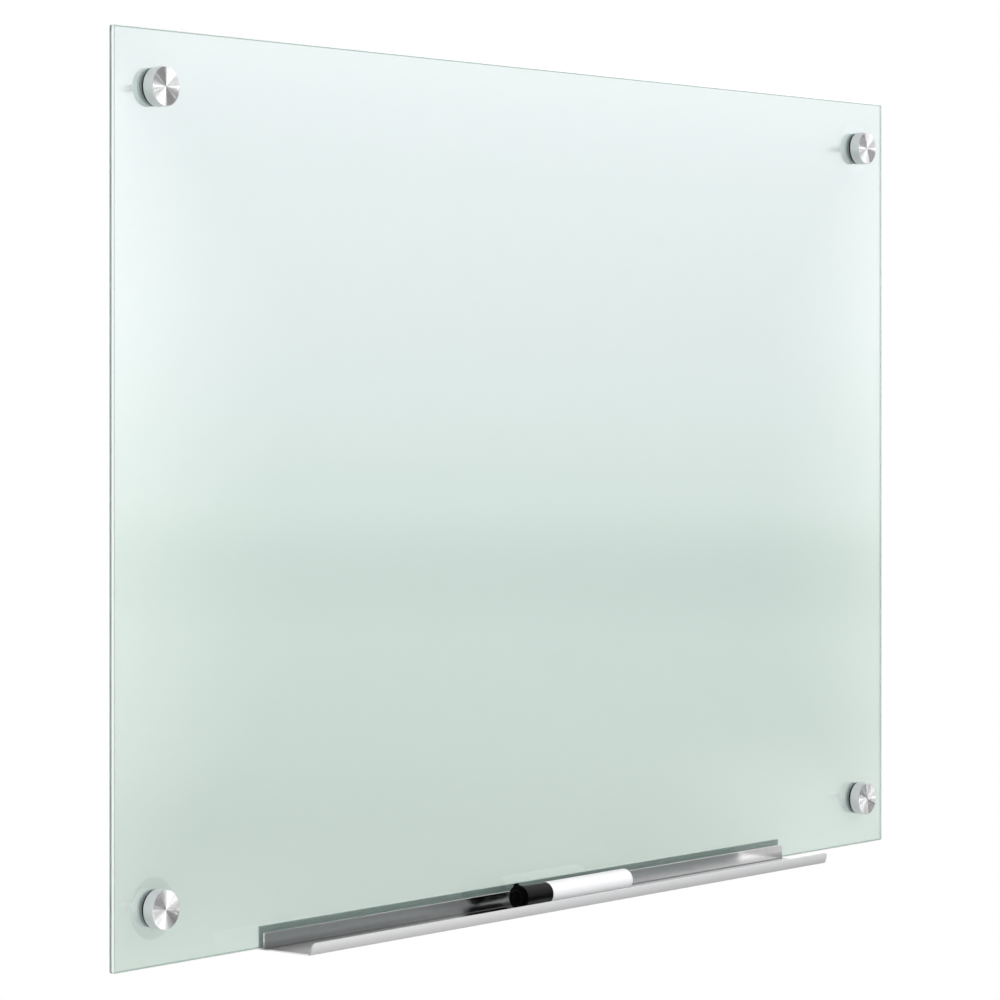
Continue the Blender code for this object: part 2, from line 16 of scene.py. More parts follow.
import bpy
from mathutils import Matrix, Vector

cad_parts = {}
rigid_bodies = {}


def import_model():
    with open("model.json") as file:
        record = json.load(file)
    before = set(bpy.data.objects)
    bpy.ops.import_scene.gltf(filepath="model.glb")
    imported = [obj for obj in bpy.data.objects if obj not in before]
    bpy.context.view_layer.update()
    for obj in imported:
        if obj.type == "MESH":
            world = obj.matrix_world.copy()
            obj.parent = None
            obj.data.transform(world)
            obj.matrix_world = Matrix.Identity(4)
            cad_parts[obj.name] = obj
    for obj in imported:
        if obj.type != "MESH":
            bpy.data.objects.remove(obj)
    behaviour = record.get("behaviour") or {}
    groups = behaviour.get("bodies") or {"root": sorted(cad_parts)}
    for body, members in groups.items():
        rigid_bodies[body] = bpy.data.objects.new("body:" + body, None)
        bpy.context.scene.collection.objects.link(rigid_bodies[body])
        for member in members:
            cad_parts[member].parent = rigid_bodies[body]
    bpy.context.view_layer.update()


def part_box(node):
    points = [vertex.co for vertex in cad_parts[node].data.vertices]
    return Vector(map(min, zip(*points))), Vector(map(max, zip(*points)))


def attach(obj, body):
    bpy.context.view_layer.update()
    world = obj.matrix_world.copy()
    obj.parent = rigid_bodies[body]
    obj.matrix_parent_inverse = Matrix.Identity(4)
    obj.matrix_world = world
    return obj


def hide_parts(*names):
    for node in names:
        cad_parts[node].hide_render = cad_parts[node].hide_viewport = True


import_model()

LOG = logging.getLogger("glass_board")

Colour = tuple[float, float, float]
Point = tuple[float, float, float]
Span = tuple[float, float]
Piece = bpy.types.Object
Material = bpy.types.Material

WHITE = (1.0, 1.0, 1.0)
MERGE_DISTANCE = 1e-6
SEAT_GAP = 0.0003
HARD_ANGLE = math.radians(28)
EASE_ANGLE = math.radians(40)
FLAT_WEIGHT = 50
THREAD_FOOT = 0.47
THREAD_ROOT = 0.98
THREAD_STEPS = 28


class Corner(Enum):
    """The four standoffs, named as someone who faces the board sees them."""

    TOP_LEFT = "top_left"
    TOP_RIGHT = "top_right"
    BOTTOM_LEFT = "bottom_left"
    BOTTOM_RIGHT = "bottom_right"


class Along(Enum):
    """The direction that a turned piece's profile runs in."""

    OUT = (0.0, -1.0, 0.0)
    RIGHT = (1.0, 0.0, 0.0)


def toned(colour: Colour, share: float) -> Colour:
    """A colour made darker, or lighter up to white."""
    return tuple(min(part * share, 1.0) for part in colour)


def operator(operation: str, is_swapped: bool = False) -> Callable:
    """Makes a method of Wire that adds a Math node.

    Args:
        operation: The node's operation, as Blender names it.
        is_swapped: Whether the other value comes first.

    Returns:
        The method. It takes the operation's other value, if there is one, and returns the result.
    """

    def method(self: "Wire", *others: Any) -> "Wire":
        """Adds the node."""
        values = (*others, self) if is_swapped else (self, *others)
        return self.tree.wire("ShaderNodeMath", {"operation": operation}, dict(enumerate(values)))

    return method


@dataclass(frozen=True)
class Wire:
    """A socket of a node tree, which Python's operators extend with Math nodes."""

    tree: "Tree"
    socket: Any

    __add__ = __radd__ = operator("ADD")
    __sub__ = operator("SUBTRACT")
    __rsub__ = operator("SUBTRACT", is_swapped=True)
    __mul__ = __rmul__ = operator("MULTIPLY")
    __truediv__ = operator("DIVIDE")
    __pow__ = operator("POWER")
    __abs__ = operator("ABSOLUTE")
    sine = operator("SINE")
    root = operator("SQRT")
    fraction = operator("FRACT")
    angle = operator("ARCTAN2")
    most = operator("MAXIMUM")
    least = operator("MINIMUM")

    def step(self, low: float, high: float) -> "Wire":
        """A smooth rise from 0 to 1.

        Args:
            low: The value of this where the rise starts.
            high: The value of this where it ends. Below low, the rise turns into a fall.

        Returns:
            The rise, held at 0 and 1 outside it.
        """
        ends = {"Value": self, "From Min": min(low, high), "From Max": max(low, high)}
        rise = self.tree.wire("ShaderNodeMapRange", {"interpolation_type": "SMOOTHSTEP"}, ends)
        return rise if high > low else 1 - rise


class Tree:
    """A material's or a world's node tree."""

    def __init__(self, owner: Any) -> None:
        """Empties the owner's tree.

        Args:
            owner: A material or a world.
        """
        owner.use_nodes = True
        self.nodes = owner.node_tree.nodes
        self.links = owner.node_tree.links
        self.nodes.clear()

    def node(self, kind: str, settings: dict | None = None, inputs: dict | None = None) -> Any:
        """Adds one node.

        Args:
            kind: The node's type.
            settings: Its properties, and under "stops" a ramp's places and grey levels.
            inputs: Numbers, colours, wires or sockets, by the input's name or number.

        Returns:
            The node.
        """
        made = self.nodes.new(kind)
        for name, value in (settings or {}).items():
            if name == "stops":
                self.set_stops(made.color_ramp, value)
            else:
                setattr(made, name, value)
        for name, value in (inputs or {}).items():
            self.feed(made.inputs[name], value)
        return made

    @staticmethod
    def set_stops(ramp: Any, stops: tuple) -> None:
        """Gives a ramp its stops.

        Args:
            ramp: The ramp.
            stops: Each stop's place and its grey level.
        """
        while len(ramp.elements) < len(stops):
            ramp.elements.new(0.5)
        for element, (place, level) in zip(ramp.elements, stops):
            element.position = place
            element.color = (level, level, level, 1.0)

    def feed(self, socket: Any, value: Any) -> None:
        """Links a wire or a socket to an input, or sets its value.

        Args:
            socket: The input.
            value: A wire, a socket, a number, a colour or a vector.
        """
        if isinstance(value, Wire):
            self.links.new(value.socket, socket)
        elif isinstance(value, bpy.types.NodeSocket):
            self.links.new(value, socket)
        elif socket.type == "RGBA":
            socket.default_value = (*value, 1.0)
        else:
            socket.default_value = value

    def wire(self, kind: str, settings: dict | None = None, inputs: dict | None = None) -> Wire:
        """Adds one node, as node does, and takes its first output."""
        return Wire(self, self.node(kind, settings, inputs).outputs[0])

    def mix(self, share: Any, first: Any, second: Any) -> Wire:
        """A colour between two.

        Args:
            share: How much of the second there is.
            first: The first colour.
            second: The second colour.

        Returns:
            The mixed colour.
        """
        made = self.node("ShaderNodeMix", {"data_type": "RGBA"})
        for name, value in (("Factor_Float", share), ("A_Color", first), ("B_Color", second)):
            self.feed(next(s for s in made.inputs if s.identifier == name), value)
        return Wire(self, next(s for s in made.outputs if s.identifier == "Result_Color"))

    def split(self, vector: Any) -> list:
        """The three parts of a vector."""
        return [Wire(self, part) for part in self.node("ShaderNodeSeparateXYZ", None, {0: vector}).outputs]


class Paint(Tree):
    """A surface material, with the patterns that the finishes share."""

    def __init__(self, name: str) -> None:
        """Makes the material.

        Args:
            name: Its name.
        """
        self.material = bpy.data.materials.new(name)
        super().__init__(self.material)
        self.place = self.node("ShaderNodeTexCoord").outputs["Object"]
        self.x, self.y, self.z = self.split(self.place)

    def noise(self, scale: float, detail: float = 2.0, stretch: Point = (1.0, 1.0, 1.0)) -> Wire:
        """A cloudy pattern.

        Args:
            scale: Its cells to the metre.
            detail: Its octaves.
            stretch: How much finer it is along each axis.

        Returns:
            The pattern, from 0 to 1.
        """
        where = self.wire("ShaderNodeMapping", None, {"Vector": self.place, "Scale": stretch})
        return self.wire("ShaderNodeTexNoise", None, {"Vector": where, "Scale": scale, "Detail": detail})

    def from_axis(self, centre: Point) -> Wire:
        """How far a place lies from the axis of its nearest standoff. The four mirror each other.

        Args:
            centre: A point on the axis of one standoff.

        Returns:
            The distance.
        """
        across = abs(self.x) - abs(centre[0])
        up = abs(self.z) - abs(centre[2])
        return (across * across + up * up).root()

    def bump(self, height: Any, depth: float, over: Any = None) -> Wire:
        """A relief.

        Args:
            height: The relief's pattern.
            depth: The height in metres of a pattern value of 1.
            over: A relief that lies under this one.

        Returns:
            The normal.
        """
        inputs = {"Height": height, "Strength": 1.0, "Distance": depth}
        if over is not None:
            inputs["Normal"] = over
        return self.wire("ShaderNodeBump", None, inputs)

    def finish(self, **inputs: Any) -> Material:
        """Ends the material in one Principled shader.

        Args:
            inputs: The shader's inputs, with _ for each space in a name.

        Returns:
            The material.
        """
        named = {name.replace("_", " "): value for name, value in inputs.items()}
        shader = self.node("ShaderNodeBsdfPrincipled", None, named)
        self.node("ShaderNodeOutputMaterial", None, {"Surface": shader.outputs[0]})
        return self.material


@dataclass(frozen=True)
class FrostedGlass:
    """Tempered glass: polished in front, etched behind, with ground edges that look green.

    The etching leaves a clear ring round each standoff. The tint is painted paler towards the outer edges, a
    painted glow; a painted dark outline runs along the faces next to the edges, and the front half of the
    ground edge is painted bright, a painted highlight.
    """

    low: Vector
    high: Vector
    standoff: Point
    tint: Colour = (0.762, 0.843, 0.842)
    # Painted glow: the paler tint that the glass takes towards its outer edges.
    glow_tint: Colour = (0.9, 0.97, 0.97)
    margin: float = 0.2
    margin_cloud: float = 0.05
    # Painted shade: the dark green tint of an outline on the faces next to the edge.
    rim_shade_tint: Colour = (0.3, 0.41, 0.36)
    side_tint: Colour = (0.7, 0.82, 0.76)
    # Painted highlight: the near-white, partly metallic front half of the ground edge.
    edge_highlight: Colour = (0.9, 0.96, 0.94)
    edge_highlight_metal: float = 0.9
    edge_highlight_depth: Span = (0.54, 0.44)
    back_depth: Span = (0.9, 0.96)
    rim_reach: Span = (0.0014, 0.00055)
    arris: Span = (0.00055, 0.00044)
    polish: float = 0.03
    frost: float = 0.24
    frost_change: float = 0.06
    ground: float = 0.3
    clear_radius: Span = (0.0213, 0.0195)
    clear_frost: float = 0.05
    clear_share: float = 0.88
    bending: float = 1.52
    etch_scale: float = 5200.0
    etch_depth: float = 0.000003
    cloud_scale: float = 6.0
    wave_scale: float = 7.0
    wave_depth: float = 0.00004

    def material(self) -> Material:
        """Builds the material.

        Returns:
            The material.
        """
        paint = Paint("frosted_glass")
        depth = (paint.y - self.low.y) / (self.high.y - self.low.y)
        half = (self.high - self.low) / 2
        middle = (self.high + self.low) / 2
        inset = (half.x - abs(paint.x - middle.x)).least(half.z - abs(paint.z - middle.z))
        behind = depth.step(*self.back_depth)
        side = inset.step(*self.arris)
        # Painted shade: a dark outline on the front and back faces next to the edge.
        rim = inset.step(*self.rim_reach) * (1 - side)
        etched = paint.noise(self.etch_scale)
        clear = paint.from_axis(self.standoff).step(*self.clear_radius)
        frost = self.clear_frost * clear + (self.frost + self.frost_change * (etched - 0.5)) * (1 - clear)
        rough = behind * frost + (1 - behind) * self.polish
        rough = side * self.ground + (1 - side) * rough
        relief = paint.bump(paint.noise(self.wave_scale, 1.0) * (1 - behind), self.wave_depth)
        relief = paint.bump(etched * behind.most(side), self.etch_depth, relief)
        # Painted glow: within margin of the outer edges the tint turns paler, for the light that gets in
        # behind the glass there.
        margin = (1 - inset / self.margin).most(0.0) ** 2
        cloud = self.margin_cloud * (paint.noise(self.cloud_scale) - 0.5)
        colour = paint.mix(margin + cloud, self.tint, self.glow_tint)
        colour = paint.mix(side.most(rim), colour, paint.mix(side, self.rim_shade_tint, self.side_tint))
        # Painted highlight on the front half of the ground edge.
        highlight = side * depth.step(*self.edge_highlight_depth)
        return paint.finish(
            Base_Color=paint.mix(highlight, colour, self.edge_highlight),
            Metallic=highlight * self.edge_highlight_metal,
            Roughness=rough,
            Normal=relief,
            IOR=self.bending,
            Transmission_Weight=self.clear_share,
        )


@dataclass(frozen=True)
class TurnedMetal:
    """Metal turned on a lathe, with a fine grain that runs round it and a duller side."""

    name: str
    colour: Colour
    centre: Point
    radius: float
    roughness: float
    side_roughness: float
    line: float = 0.00011
    line_scale: float = 0.4
    line_relief: float = 0.012
    line_change: float = 0.08
    side_inset: Span = (0.0006, 0.0002)
    smudge_scale: float = 160.0
    smudge_change: float = 0.07
    smudge_share: float = 0.5
    face_dark: float = 0.86
    side_dark: float = 0.8

    def material(self) -> Material:
        """Builds the material.

        Returns:
            The material.
        """
        paint = Paint(self.name)
        radius = paint.from_axis(self.centre)
        where = paint.wire("ShaderNodeCombineXYZ", None, {"X": radius, "Y": paint.y})
        grain = {"Vector": where, "Scale": self.line_scale / self.line, "Detail": 2.0}
        lines = paint.wire("ShaderNodeTexNoise", None, grain)
        smudge = paint.noise(self.smudge_scale, 3.0)
        side = radius.step(*(self.radius - inset for inset in self.side_inset))
        rough = self.roughness * (1 - side) + self.side_roughness * side
        rough = rough + self.smudge_change * (smudge - 0.5) + self.line_change * (lines - 0.5)
        face_tone = paint.mix(smudge * self.smudge_share, self.colour, toned(self.colour, self.face_dark))
        side_tone = paint.mix(lines, self.colour, toned(self.colour, self.side_dark))
        return paint.finish(
            Base_Color=paint.mix(side, face_tone, side_tone),
            Metallic=1.0,
            Roughness=rough,
            Normal=paint.bump(lines, self.line * self.line_relief),
        )


@dataclass(frozen=True)
class DrawnAluminium:
    """Anodised extruded aluminium: fine die lines, a satin lip painted darker towards its foot, and painted
    shade in the inner corner.
    """

    lip: float
    corner: tuple[float, float]
    colour: Colour = (0.775, 0.775, 0.775)
    line_tone: float = 0.9
    line_share: float = 0.25
    satin: Colour = (0.71, 0.712, 0.72)
    # Painted shade: the darker satin tone at the lip's foot.
    satin_foot_shade: Colour = (0.46, 0.462, 0.468)
    satin_dull: float = 0.7
    satin_roughness: float = 0.3
    lip_rise: Span = (-0.0012, 0.0078)
    lip_depth: Span = (0.0045, 0.0036)
    roughness: float = 0.14
    line_change: float = 0.06
    cloud_change: float = 0.05
    # Painted shade in the inner corner: a dark line, and a softer shade round it at half strength.
    corner_line_reach: Span = (0.0006, 0.00036)
    corner_shade_tone: Colour = (0.12, 0.12, 0.125)
    foot_shade_reach: Span = (0.0065, 0.001625)
    foot_shade_share: float = 0.5
    line_scale: float = 2400.0
    line_stretch: Point = (0.004, 1.0, 1.0)
    line_depth: float = 0.0000015
    grain_scale: float = 5000.0
    grain_depth: float = 0.0000006
    cloud_scale: float = 14.0

    def material(self) -> Material:
        """Builds the material.

        Returns:
            The material.
        """
        paint = Paint("anodised_aluminium")
        lines = paint.noise(self.line_scale, stretch=self.line_stretch)
        relief = paint.bump(lines, self.line_depth)
        relief = paint.bump(paint.noise(self.grain_scale, 1.0), self.grain_depth, relief)
        satin = (paint.y - self.lip).step(*self.lip_depth)
        cloud = paint.noise(self.cloud_scale)
        rough = self.roughness + self.line_change * (lines - 0.5) + self.cloud_change * (cloud - 0.5)
        # Painted shade round the inner corner where the flange meets the floor: a dark line in the corner,
        # and a softer shade that spreads about 6.5 mm from it.
        across = paint.y - self.corner[0]
        up = paint.z - self.corner[1]
        reach = (across * across + up * up).root()
        corner_line_shade = reach.step(*self.corner_line_reach)
        foot = reach.step(*self.foot_shade_reach)
        tone = paint.mix(lines * self.line_share, self.colour, toned(self.colour, self.line_tone))
        # The lip's satin tone is painted darker towards its foot, a painted shade.
        tone = paint.mix(satin, tone, paint.mix(up.step(*self.lip_rise), self.satin_foot_shade, self.satin))
        return paint.finish(
            Base_Color=paint.mix(corner_line_shade.most(foot * self.foot_shade_share), tone, self.corner_shade_tone),
            Metallic=1 - self.satin_dull * satin,
            Roughness=rough + self.satin_roughness * satin,
            Normal=relief,
        )


@dataclass(frozen=True)
class Steel:
    """Plated steel of a stud or a screw."""

    name: str
    colour: Colour
    roughness: float = 0.3
    roughness_change: float = 0.14
    dark: float = 0.8
    cloud_scale: float = 350.0
    grain_scale: float = 6000.0
    grain_depth: float = 0.000008

    def material(self) -> Material:
        """Builds the material.

        Returns:
            The material.
        """
        paint = Paint(self.name)
        cloud = paint.noise(self.cloud_scale, 4.0)
        return paint.finish(
            Base_Color=paint.mix(cloud, self.colour, toned(self.colour, self.dark)),
            Metallic=1.0,
            Roughness=self.roughness + self.roughness_change * (cloud - 0.5),
            Normal=paint.bump(paint.noise(self.grain_scale), self.grain_depth),
        )


@dataclass(frozen=True)
class Moulding:
    """Moulded plastic or rubber, with a slight grain."""

    name: str
    colour: Colour
    roughness: float
    grain: float = 0.00001
    grain_scale: float = 1800.0
    coat: float = 0.0
    let_through: float = 0.0
    gloss: float = 0.5
    cloud_scale: float = 60.0
    cloud_change: float = 0.08
    light: float = 1.12
    light_share: float = 0.5
    coat_roughness: float = 0.15
    let_through_reach: float = 0.001

    def material(self) -> Material:
        """Builds the material.

        Returns:
            The material.
        """
        paint = Paint(self.name)
        cloud = paint.noise(self.cloud_scale)
        return paint.finish(
            Base_Color=paint.mix(cloud * self.light_share, self.colour, toned(self.colour, self.light)),
            Roughness=self.roughness + self.cloud_change * (cloud - 0.5),
            Normal=paint.bump(paint.noise(self.grain_scale), self.grain),
            Coat_Weight=self.coat,
            Coat_Roughness=self.coat_roughness,
            Specular_IOR_Level=self.gloss,
            Subsurface_Weight=self.let_through,
            Subsurface_Scale=self.let_through_reach,
        )


def eased(corners: list, is_ring: bool = False, steps: int = 4) -> list:
    """Rounds the corners of an outline.

    Args:
        corners: Its corners as (first, second, ease) triples, in metres. An ease of 0 stays sharp.
        is_ring: Whether the last corner is followed by the first.
        steps: How many edges a rounded corner has.

    Returns:
        The outline's points as pairs. A ring's first point is repeated at its end.
    """
    points = []
    for number, (first, second, ease) in enumerate(corners):
        here = Vector((first, second))
        if ease == 0:
            points.append(tuple(here))
            continue
        before = Vector(corners[number - 1][:2])
        after = Vector(corners[(number + 1) % len(corners)][:2])
        enter = here + (before - here).normalized() * ease
        leave = here + (after - here).normalized() * ease
        for step in range(steps + 1):
            share = step / steps
            points.append(tuple(enter * (1 - share) ** 2 + here * 2 * share * (1 - share) + leave * share**2))
    return points + points[:1] if is_ring else points


class Bench:
    """Edit-mode modelling of one piece at a time, as by hand."""

    @staticmethod
    def clear() -> None:
        """Deselects everything, outside edit mode."""
        if bpy.context.object is not None and bpy.context.object.mode != "OBJECT":
            bpy.ops.object.mode_set(mode="OBJECT")
        for obj in bpy.context.view_layer.objects:
            obj.select_set(False)

    @staticmethod
    def take(piece: Piece) -> None:
        """Selects one piece alone.

        Args:
            piece: The piece.
        """
        Bench.clear()
        piece.select_set(True)
        bpy.context.view_layer.objects.active = piece

    @staticmethod
    def named(name: str) -> Piece:
        """Names the piece that was just added, and moves its place into its mesh.

        Args:
            name: Its name.

        Returns:
            The piece.
        """
        piece = bpy.context.object
        piece.name = piece.data.name = name
        bpy.ops.object.transform_apply(location=True, rotation=True, scale=True)
        return piece

    @staticmethod
    def edit(piece: Piece) -> None:
        """Takes a piece into edit mode with all of it selected.

        Args:
            piece: The piece.
        """
        Bench.take(piece)
        bpy.ops.object.mode_set(mode="EDIT")
        bpy.ops.mesh.select_all(action="SELECT")

    @staticmethod
    def close(piece: Piece) -> Piece:
        """Merges a piece's doubles, turns its faces outwards and shades it.

        Args:
            piece: The piece, in edit mode.

        Returns:
            The piece, in object mode.
        """
        bpy.ops.mesh.select_all(action="SELECT")
        bpy.ops.mesh.remove_doubles(threshold=MERGE_DISTANCE)
        bpy.ops.mesh.normals_make_consistent(inside=False)
        bpy.ops.object.mode_set(mode="OBJECT")
        return Bench.smooth(piece)

    @staticmethod
    def smooth(piece: Piece, angle: float = HARD_ANGLE) -> Piece:
        """Shades a piece smooth between its hard edges.

        Args:
            piece: The piece.
            angle: The least angle of a hard edge.

        Returns:
            The piece.
        """
        Bench.take(piece)
        bpy.ops.object.shade_smooth_by_angle(angle=angle)
        return piece

    @staticmethod
    def modify(piece: Piece, kind: str, **settings: Any) -> None:
        """Adds a modifier to a piece and applies it.

        Args:
            piece: The piece.
            kind: The modifier's type.
            settings: Its settings.
        """
        Bench.take(piece)
        modifier = piece.modifiers.new(kind, kind)
        for name, value in settings.items():
            setattr(modifier, name, value)
        bpy.ops.object.modifier_apply(modifier=modifier.name)

    @staticmethod
    def turn(name: str, centre: Point, along: Along, profile: list, sides: int) -> Piece:
        """Turns a piece by extruding a circle from ring to ring.

        Args:
            name: The piece's name.
            centre: The point on its axis where the profile's places count from.
            along: Which way its axis runs.
            profile: Its rings as (radius, place) pairs. If the last is the first again, the piece is a
                ring with a hole, and otherwise both ends are closed by flat faces.
            sides: How many sides it has.

        Returns:
            The piece, its mesh in place and its object at the origin.
        """
        Bench.clear()
        axis = Vector(along.value)
        radius, place = profile[0]
        bpy.ops.mesh.primitive_circle_add(
            vertices=sides,
            radius=radius,
            fill_type="NOTHING" if profile[0] == profile[-1] else "NGON",
            location=Vector(centre) + axis * place,
            rotation=(math.pi / 2, 0, 0) if along is Along.OUT else (0, math.pi / 2, 0),
        )
        piece = Bench.named(name)
        bpy.ops.object.mode_set(mode="EDIT")
        for new_radius, new_place in profile[1:]:
            shift = axis * (new_place - place)
            bpy.ops.mesh.extrude_region_move(TRANSFORM_OT_translate={"value": shift})
            grown = new_radius / radius
            middle = Vector(centre) + axis * new_place
            bpy.ops.transform.resize(value=(grown, grown, grown), center_override=middle)
            radius, place = new_radius, new_place
        return Bench.close(piece)

    @staticmethod
    def sheet(name: str, outline: list, shift: Point) -> Piece:
        """Extrudes an outline straight into a solid.

        Args:
            name: The piece's name.
            outline: The outline's points in order.
            shift: How far the outline is extruded.

        Returns:
            The piece.
        """
        Bench.clear()
        bpy.ops.mesh.primitive_circle_add(vertices=len(outline), fill_type="NGON", location=(0, 0, 0))
        piece = Bench.named(name)
        for vertex, point in zip(piece.data.vertices, outline):
            vertex.co = point
        Bench.edit(piece)
        bpy.ops.mesh.extrude_region_move(TRANSFORM_OT_translate={"value": shift})
        return Bench.close(piece)

    @staticmethod
    def round_edges(piece: Piece, chosen: Callable, width: float, steps: int) -> None:
        """Bevels the edges that a test chooses.

        Args:
            piece: The piece.
            chosen: A test of an edge's two end points.
            width: How far the bevel reaches from the edge.
            steps: Its segments.
        """
        Bench.take(piece)
        mesh = piece.data
        bpy.ops.object.mode_set(mode="EDIT")
        bpy.ops.mesh.select_all(action="DESELECT")
        bpy.ops.mesh.select_mode(type="EDGE")
        bpy.ops.object.mode_set(mode="OBJECT")
        for edge in mesh.edges:
            edge.select = chosen(*(mesh.vertices[number].co for number in edge.vertices))
        bpy.ops.object.mode_set(mode="EDIT")
        bpy.ops.mesh.bevel(offset=width, offset_type="OFFSET", segments=steps, profile=0.5)
        bpy.ops.mesh.select_mode(type="VERT")
        Bench.close(piece)

    @staticmethod
    def ease(piece: Piece, width: float, steps: int) -> None:
        """Rounds every hard edge of a piece a little.

        Args:
            piece: The piece.
            width: The rounding's reach.
            steps: Its segments.
        """
        limit = {"limit_method": "ANGLE", "angle_limit": EASE_ANGLE, "use_clamp_overlap": True}
        Bench.modify(piece, "BEVEL", width=width, segments=steps, **limit)
        Bench.smooth(piece)

    @staticmethod
    def carve(piece: Piece, tool: Piece, operation: str = "DIFFERENCE") -> None:
        """Cuts a piece with a tool, or unites the two. The tool is used up.

        Args:
            piece: The piece.
            tool: The tool.
            operation: What is done, as the Boolean modifier names it.
        """
        Bench.modify(piece, "BOOLEAN", operation=operation, solver="EXACT", object=tool)
        bpy.data.objects.remove(tool, do_unlink=True)
        Bench.smooth(piece)

    @staticmethod
    def block(name: str, middle: Point, size: Point, turn: Point = (0.0, 0.0, 0.0)) -> Piece:
        """A block to be shaped further or to cut with.

        Args:
            name: Its name.
            middle: Its middle.
            size: Its size along each axis.
            turn: Its turn about each axis.

        Returns:
            The block, its place in its mesh.
        """
        Bench.clear()
        bpy.ops.mesh.primitive_cube_add(size=1.0, location=middle, rotation=turn, scale=size)
        return Bench.named(name)

    @staticmethod
    def add_thread(core: Piece, centre: Point, ends: Span, radii: Span, pitch: float) -> None:
        """Sweeps a thread's ridge round an axis that runs out from the wall, and joins it to its core.

        Args:
            core: The piece that gets the thread.
            centre: A point on the axis.
            ends: Where along the axis the thread starts and ends.
            radii: The core's radius and the crest's.
            pitch: How far it climbs at each turn.
        """
        Bench.clear()
        bpy.ops.mesh.primitive_circle_add(vertices=3, radius=1.0, location=(0, 0, 0))
        ridge = Bench.named("ridge")
        start, end = ends
        root = radii[0] * THREAD_ROOT
        turns = max(int((end - start) / pitch) - 1, 1)
        foot = pitch * THREAD_FOOT
        middle = start + (end - start - turns * pitch) / 2
        corners = [(radii[1], middle), (root, middle - foot), (root, middle + foot)]
        for vertex, (radius, place) in zip(ridge.data.vertices, corners):
            vertex.co = (radius, -place, 0)
        sweep = {"axis": "Y", "angle": math.tau, "screw_offset": -pitch, "iterations": turns}
        finely = {"steps": THREAD_STEPS, "render_steps": THREAD_STEPS, "use_merge_vertices": False}
        Bench.modify(ridge, "SCREW", **sweep, **finely)
        Bench.edit(ridge)
        bpy.ops.mesh.fill_holes(sides=3)
        bpy.ops.mesh.normals_make_consistent(inside=False)
        bpy.ops.object.mode_set(mode="OBJECT")
        ridge.location = centre
        Bench.named("ridge")
        Bench.take(core)
        ridge.select_set(True)
        bpy.ops.object.join()
        Bench.smooth(core)

    @staticmethod
    def copy(piece: Piece, name: str, shift: Vector) -> Piece:
        """Copies a piece to another place.

        Args:
            piece: The piece.
            name: The copy's name.
            shift: How far the copy is moved.

        Returns:
            The copy, with its own mesh.
        """
        Bench.take(piece)
        bpy.ops.object.duplicate()
        bpy.ops.transform.translate(value=shift)
        return Bench.named(name)


@dataclass(frozen=True)
class Role:
    """What a piece is called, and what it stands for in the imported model."""

    name: str
    node: str
    body: str
    slot: str
    finish: Material

    def at(self, corner: Corner) -> "Role":
        """The same role at one corner.

        Args:
            corner: The corner. Its name is put in the place of {} in the body's.

        Returns:
            The role.
        """
        where = corner.value
        names = (f"{self.name}_{where}", f"{self.node}_{where}", self.body.format(where))
        return Role(*names, self.slot, self.finish)

    def give(self, piece: Piece) -> None:
        """Names and dresses a piece and lets it stand for its node, with flat faces that mirror as flat.

        Args:
            piece: The piece.
        """
        Bench.modify(piece, "WEIGHTED_NORMAL", mode="FACE_AREA", weight=FLAT_WEIGHT, keep_sharp=True)
        piece.name = piece.data.name = self.name
        piece.data.materials.clear()
        piece.data.materials.append(self.finish)
        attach(piece, self.body)
        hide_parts(self.node)
        LOG.info("made %s, %d faces, on %s", piece.name, len(piece.data.polygons), self.body)


class Finishes:
    """Every material of the board, made once."""

    def __init__(self) -> None:
        """Builds the materials."""
        low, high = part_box("glass_panel")
        tray_low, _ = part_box("marker_tray")
        cap_low, cap_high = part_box("standoff_cap_top_right")
        barrel_low, barrel_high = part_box("standoff_barrel_top_right")
        axis = tuple((cap_low + cap_high) / 2)
        cap_radius = (cap_high.z - cap_low.z) / 2
        barrel_radius = (barrel_high.z - barrel_low.z) / 2
        corner = (low.y - SEAT_GAP - MarkerTray.wall_thickness, low.z - SEAT_GAP)
        steel = TurnedMetal("turned_steel", (0.84, 0.84, 0.85), axis, cap_radius, 0.13, 0.36)
        matt_steel = TurnedMetal("turned_barrel", (0.75, 0.82, 0.775), axis, barrel_radius, 0.42, 0.42)
        zinc = Steel("zinc_plated_steel", (0.97, 0.97, 0.96), 0.4)
        nylon = Moulding("clear_nylon", (0.8, 0.89, 0.84), 0.4, 0.000004, let_through=0.5)
        grip = Moulding("grip_rubber", (0.03, 0.2, 0.11), 0.75, grain_scale=1500.0)
        white = Moulding("white_plastic", (0.87, 0.87, 0.88), 0.3, 0.000002, coat=0.1, gloss=0.3)
        black = Moulding("black_plastic", (0.002, 0.002, 0.0025), 0.24, 0.000002, gloss=0.06)
        self.glass = FrostedGlass(low, high, axis).material()
        self.cap = steel.material()
        self.barrel = matt_steel.material()
        self.stud = Steel("plain_steel", (0.58, 0.58, 0.58)).material()
        self.screw = zinc.material()
        self.washer = Moulding("black_rubber", (0.012, 0.014, 0.013), 0.6).material()
        self.sleeve = nylon.material()
        self.tray = DrawnAluminium(tray_low.y, corner).material()
        self.grip = grip.material()
        self.white = white.material()
        self.black = black.material()
        self.felt = Moulding("inked_felt", (0.012, 0.012, 0.014), 0.95, 0.00005, 4000.0).material()
        self.fibre = Moulding("ink_fibre", (0.25, 0.25, 0.27), 0.95, 0.00006, 3000.0).material()


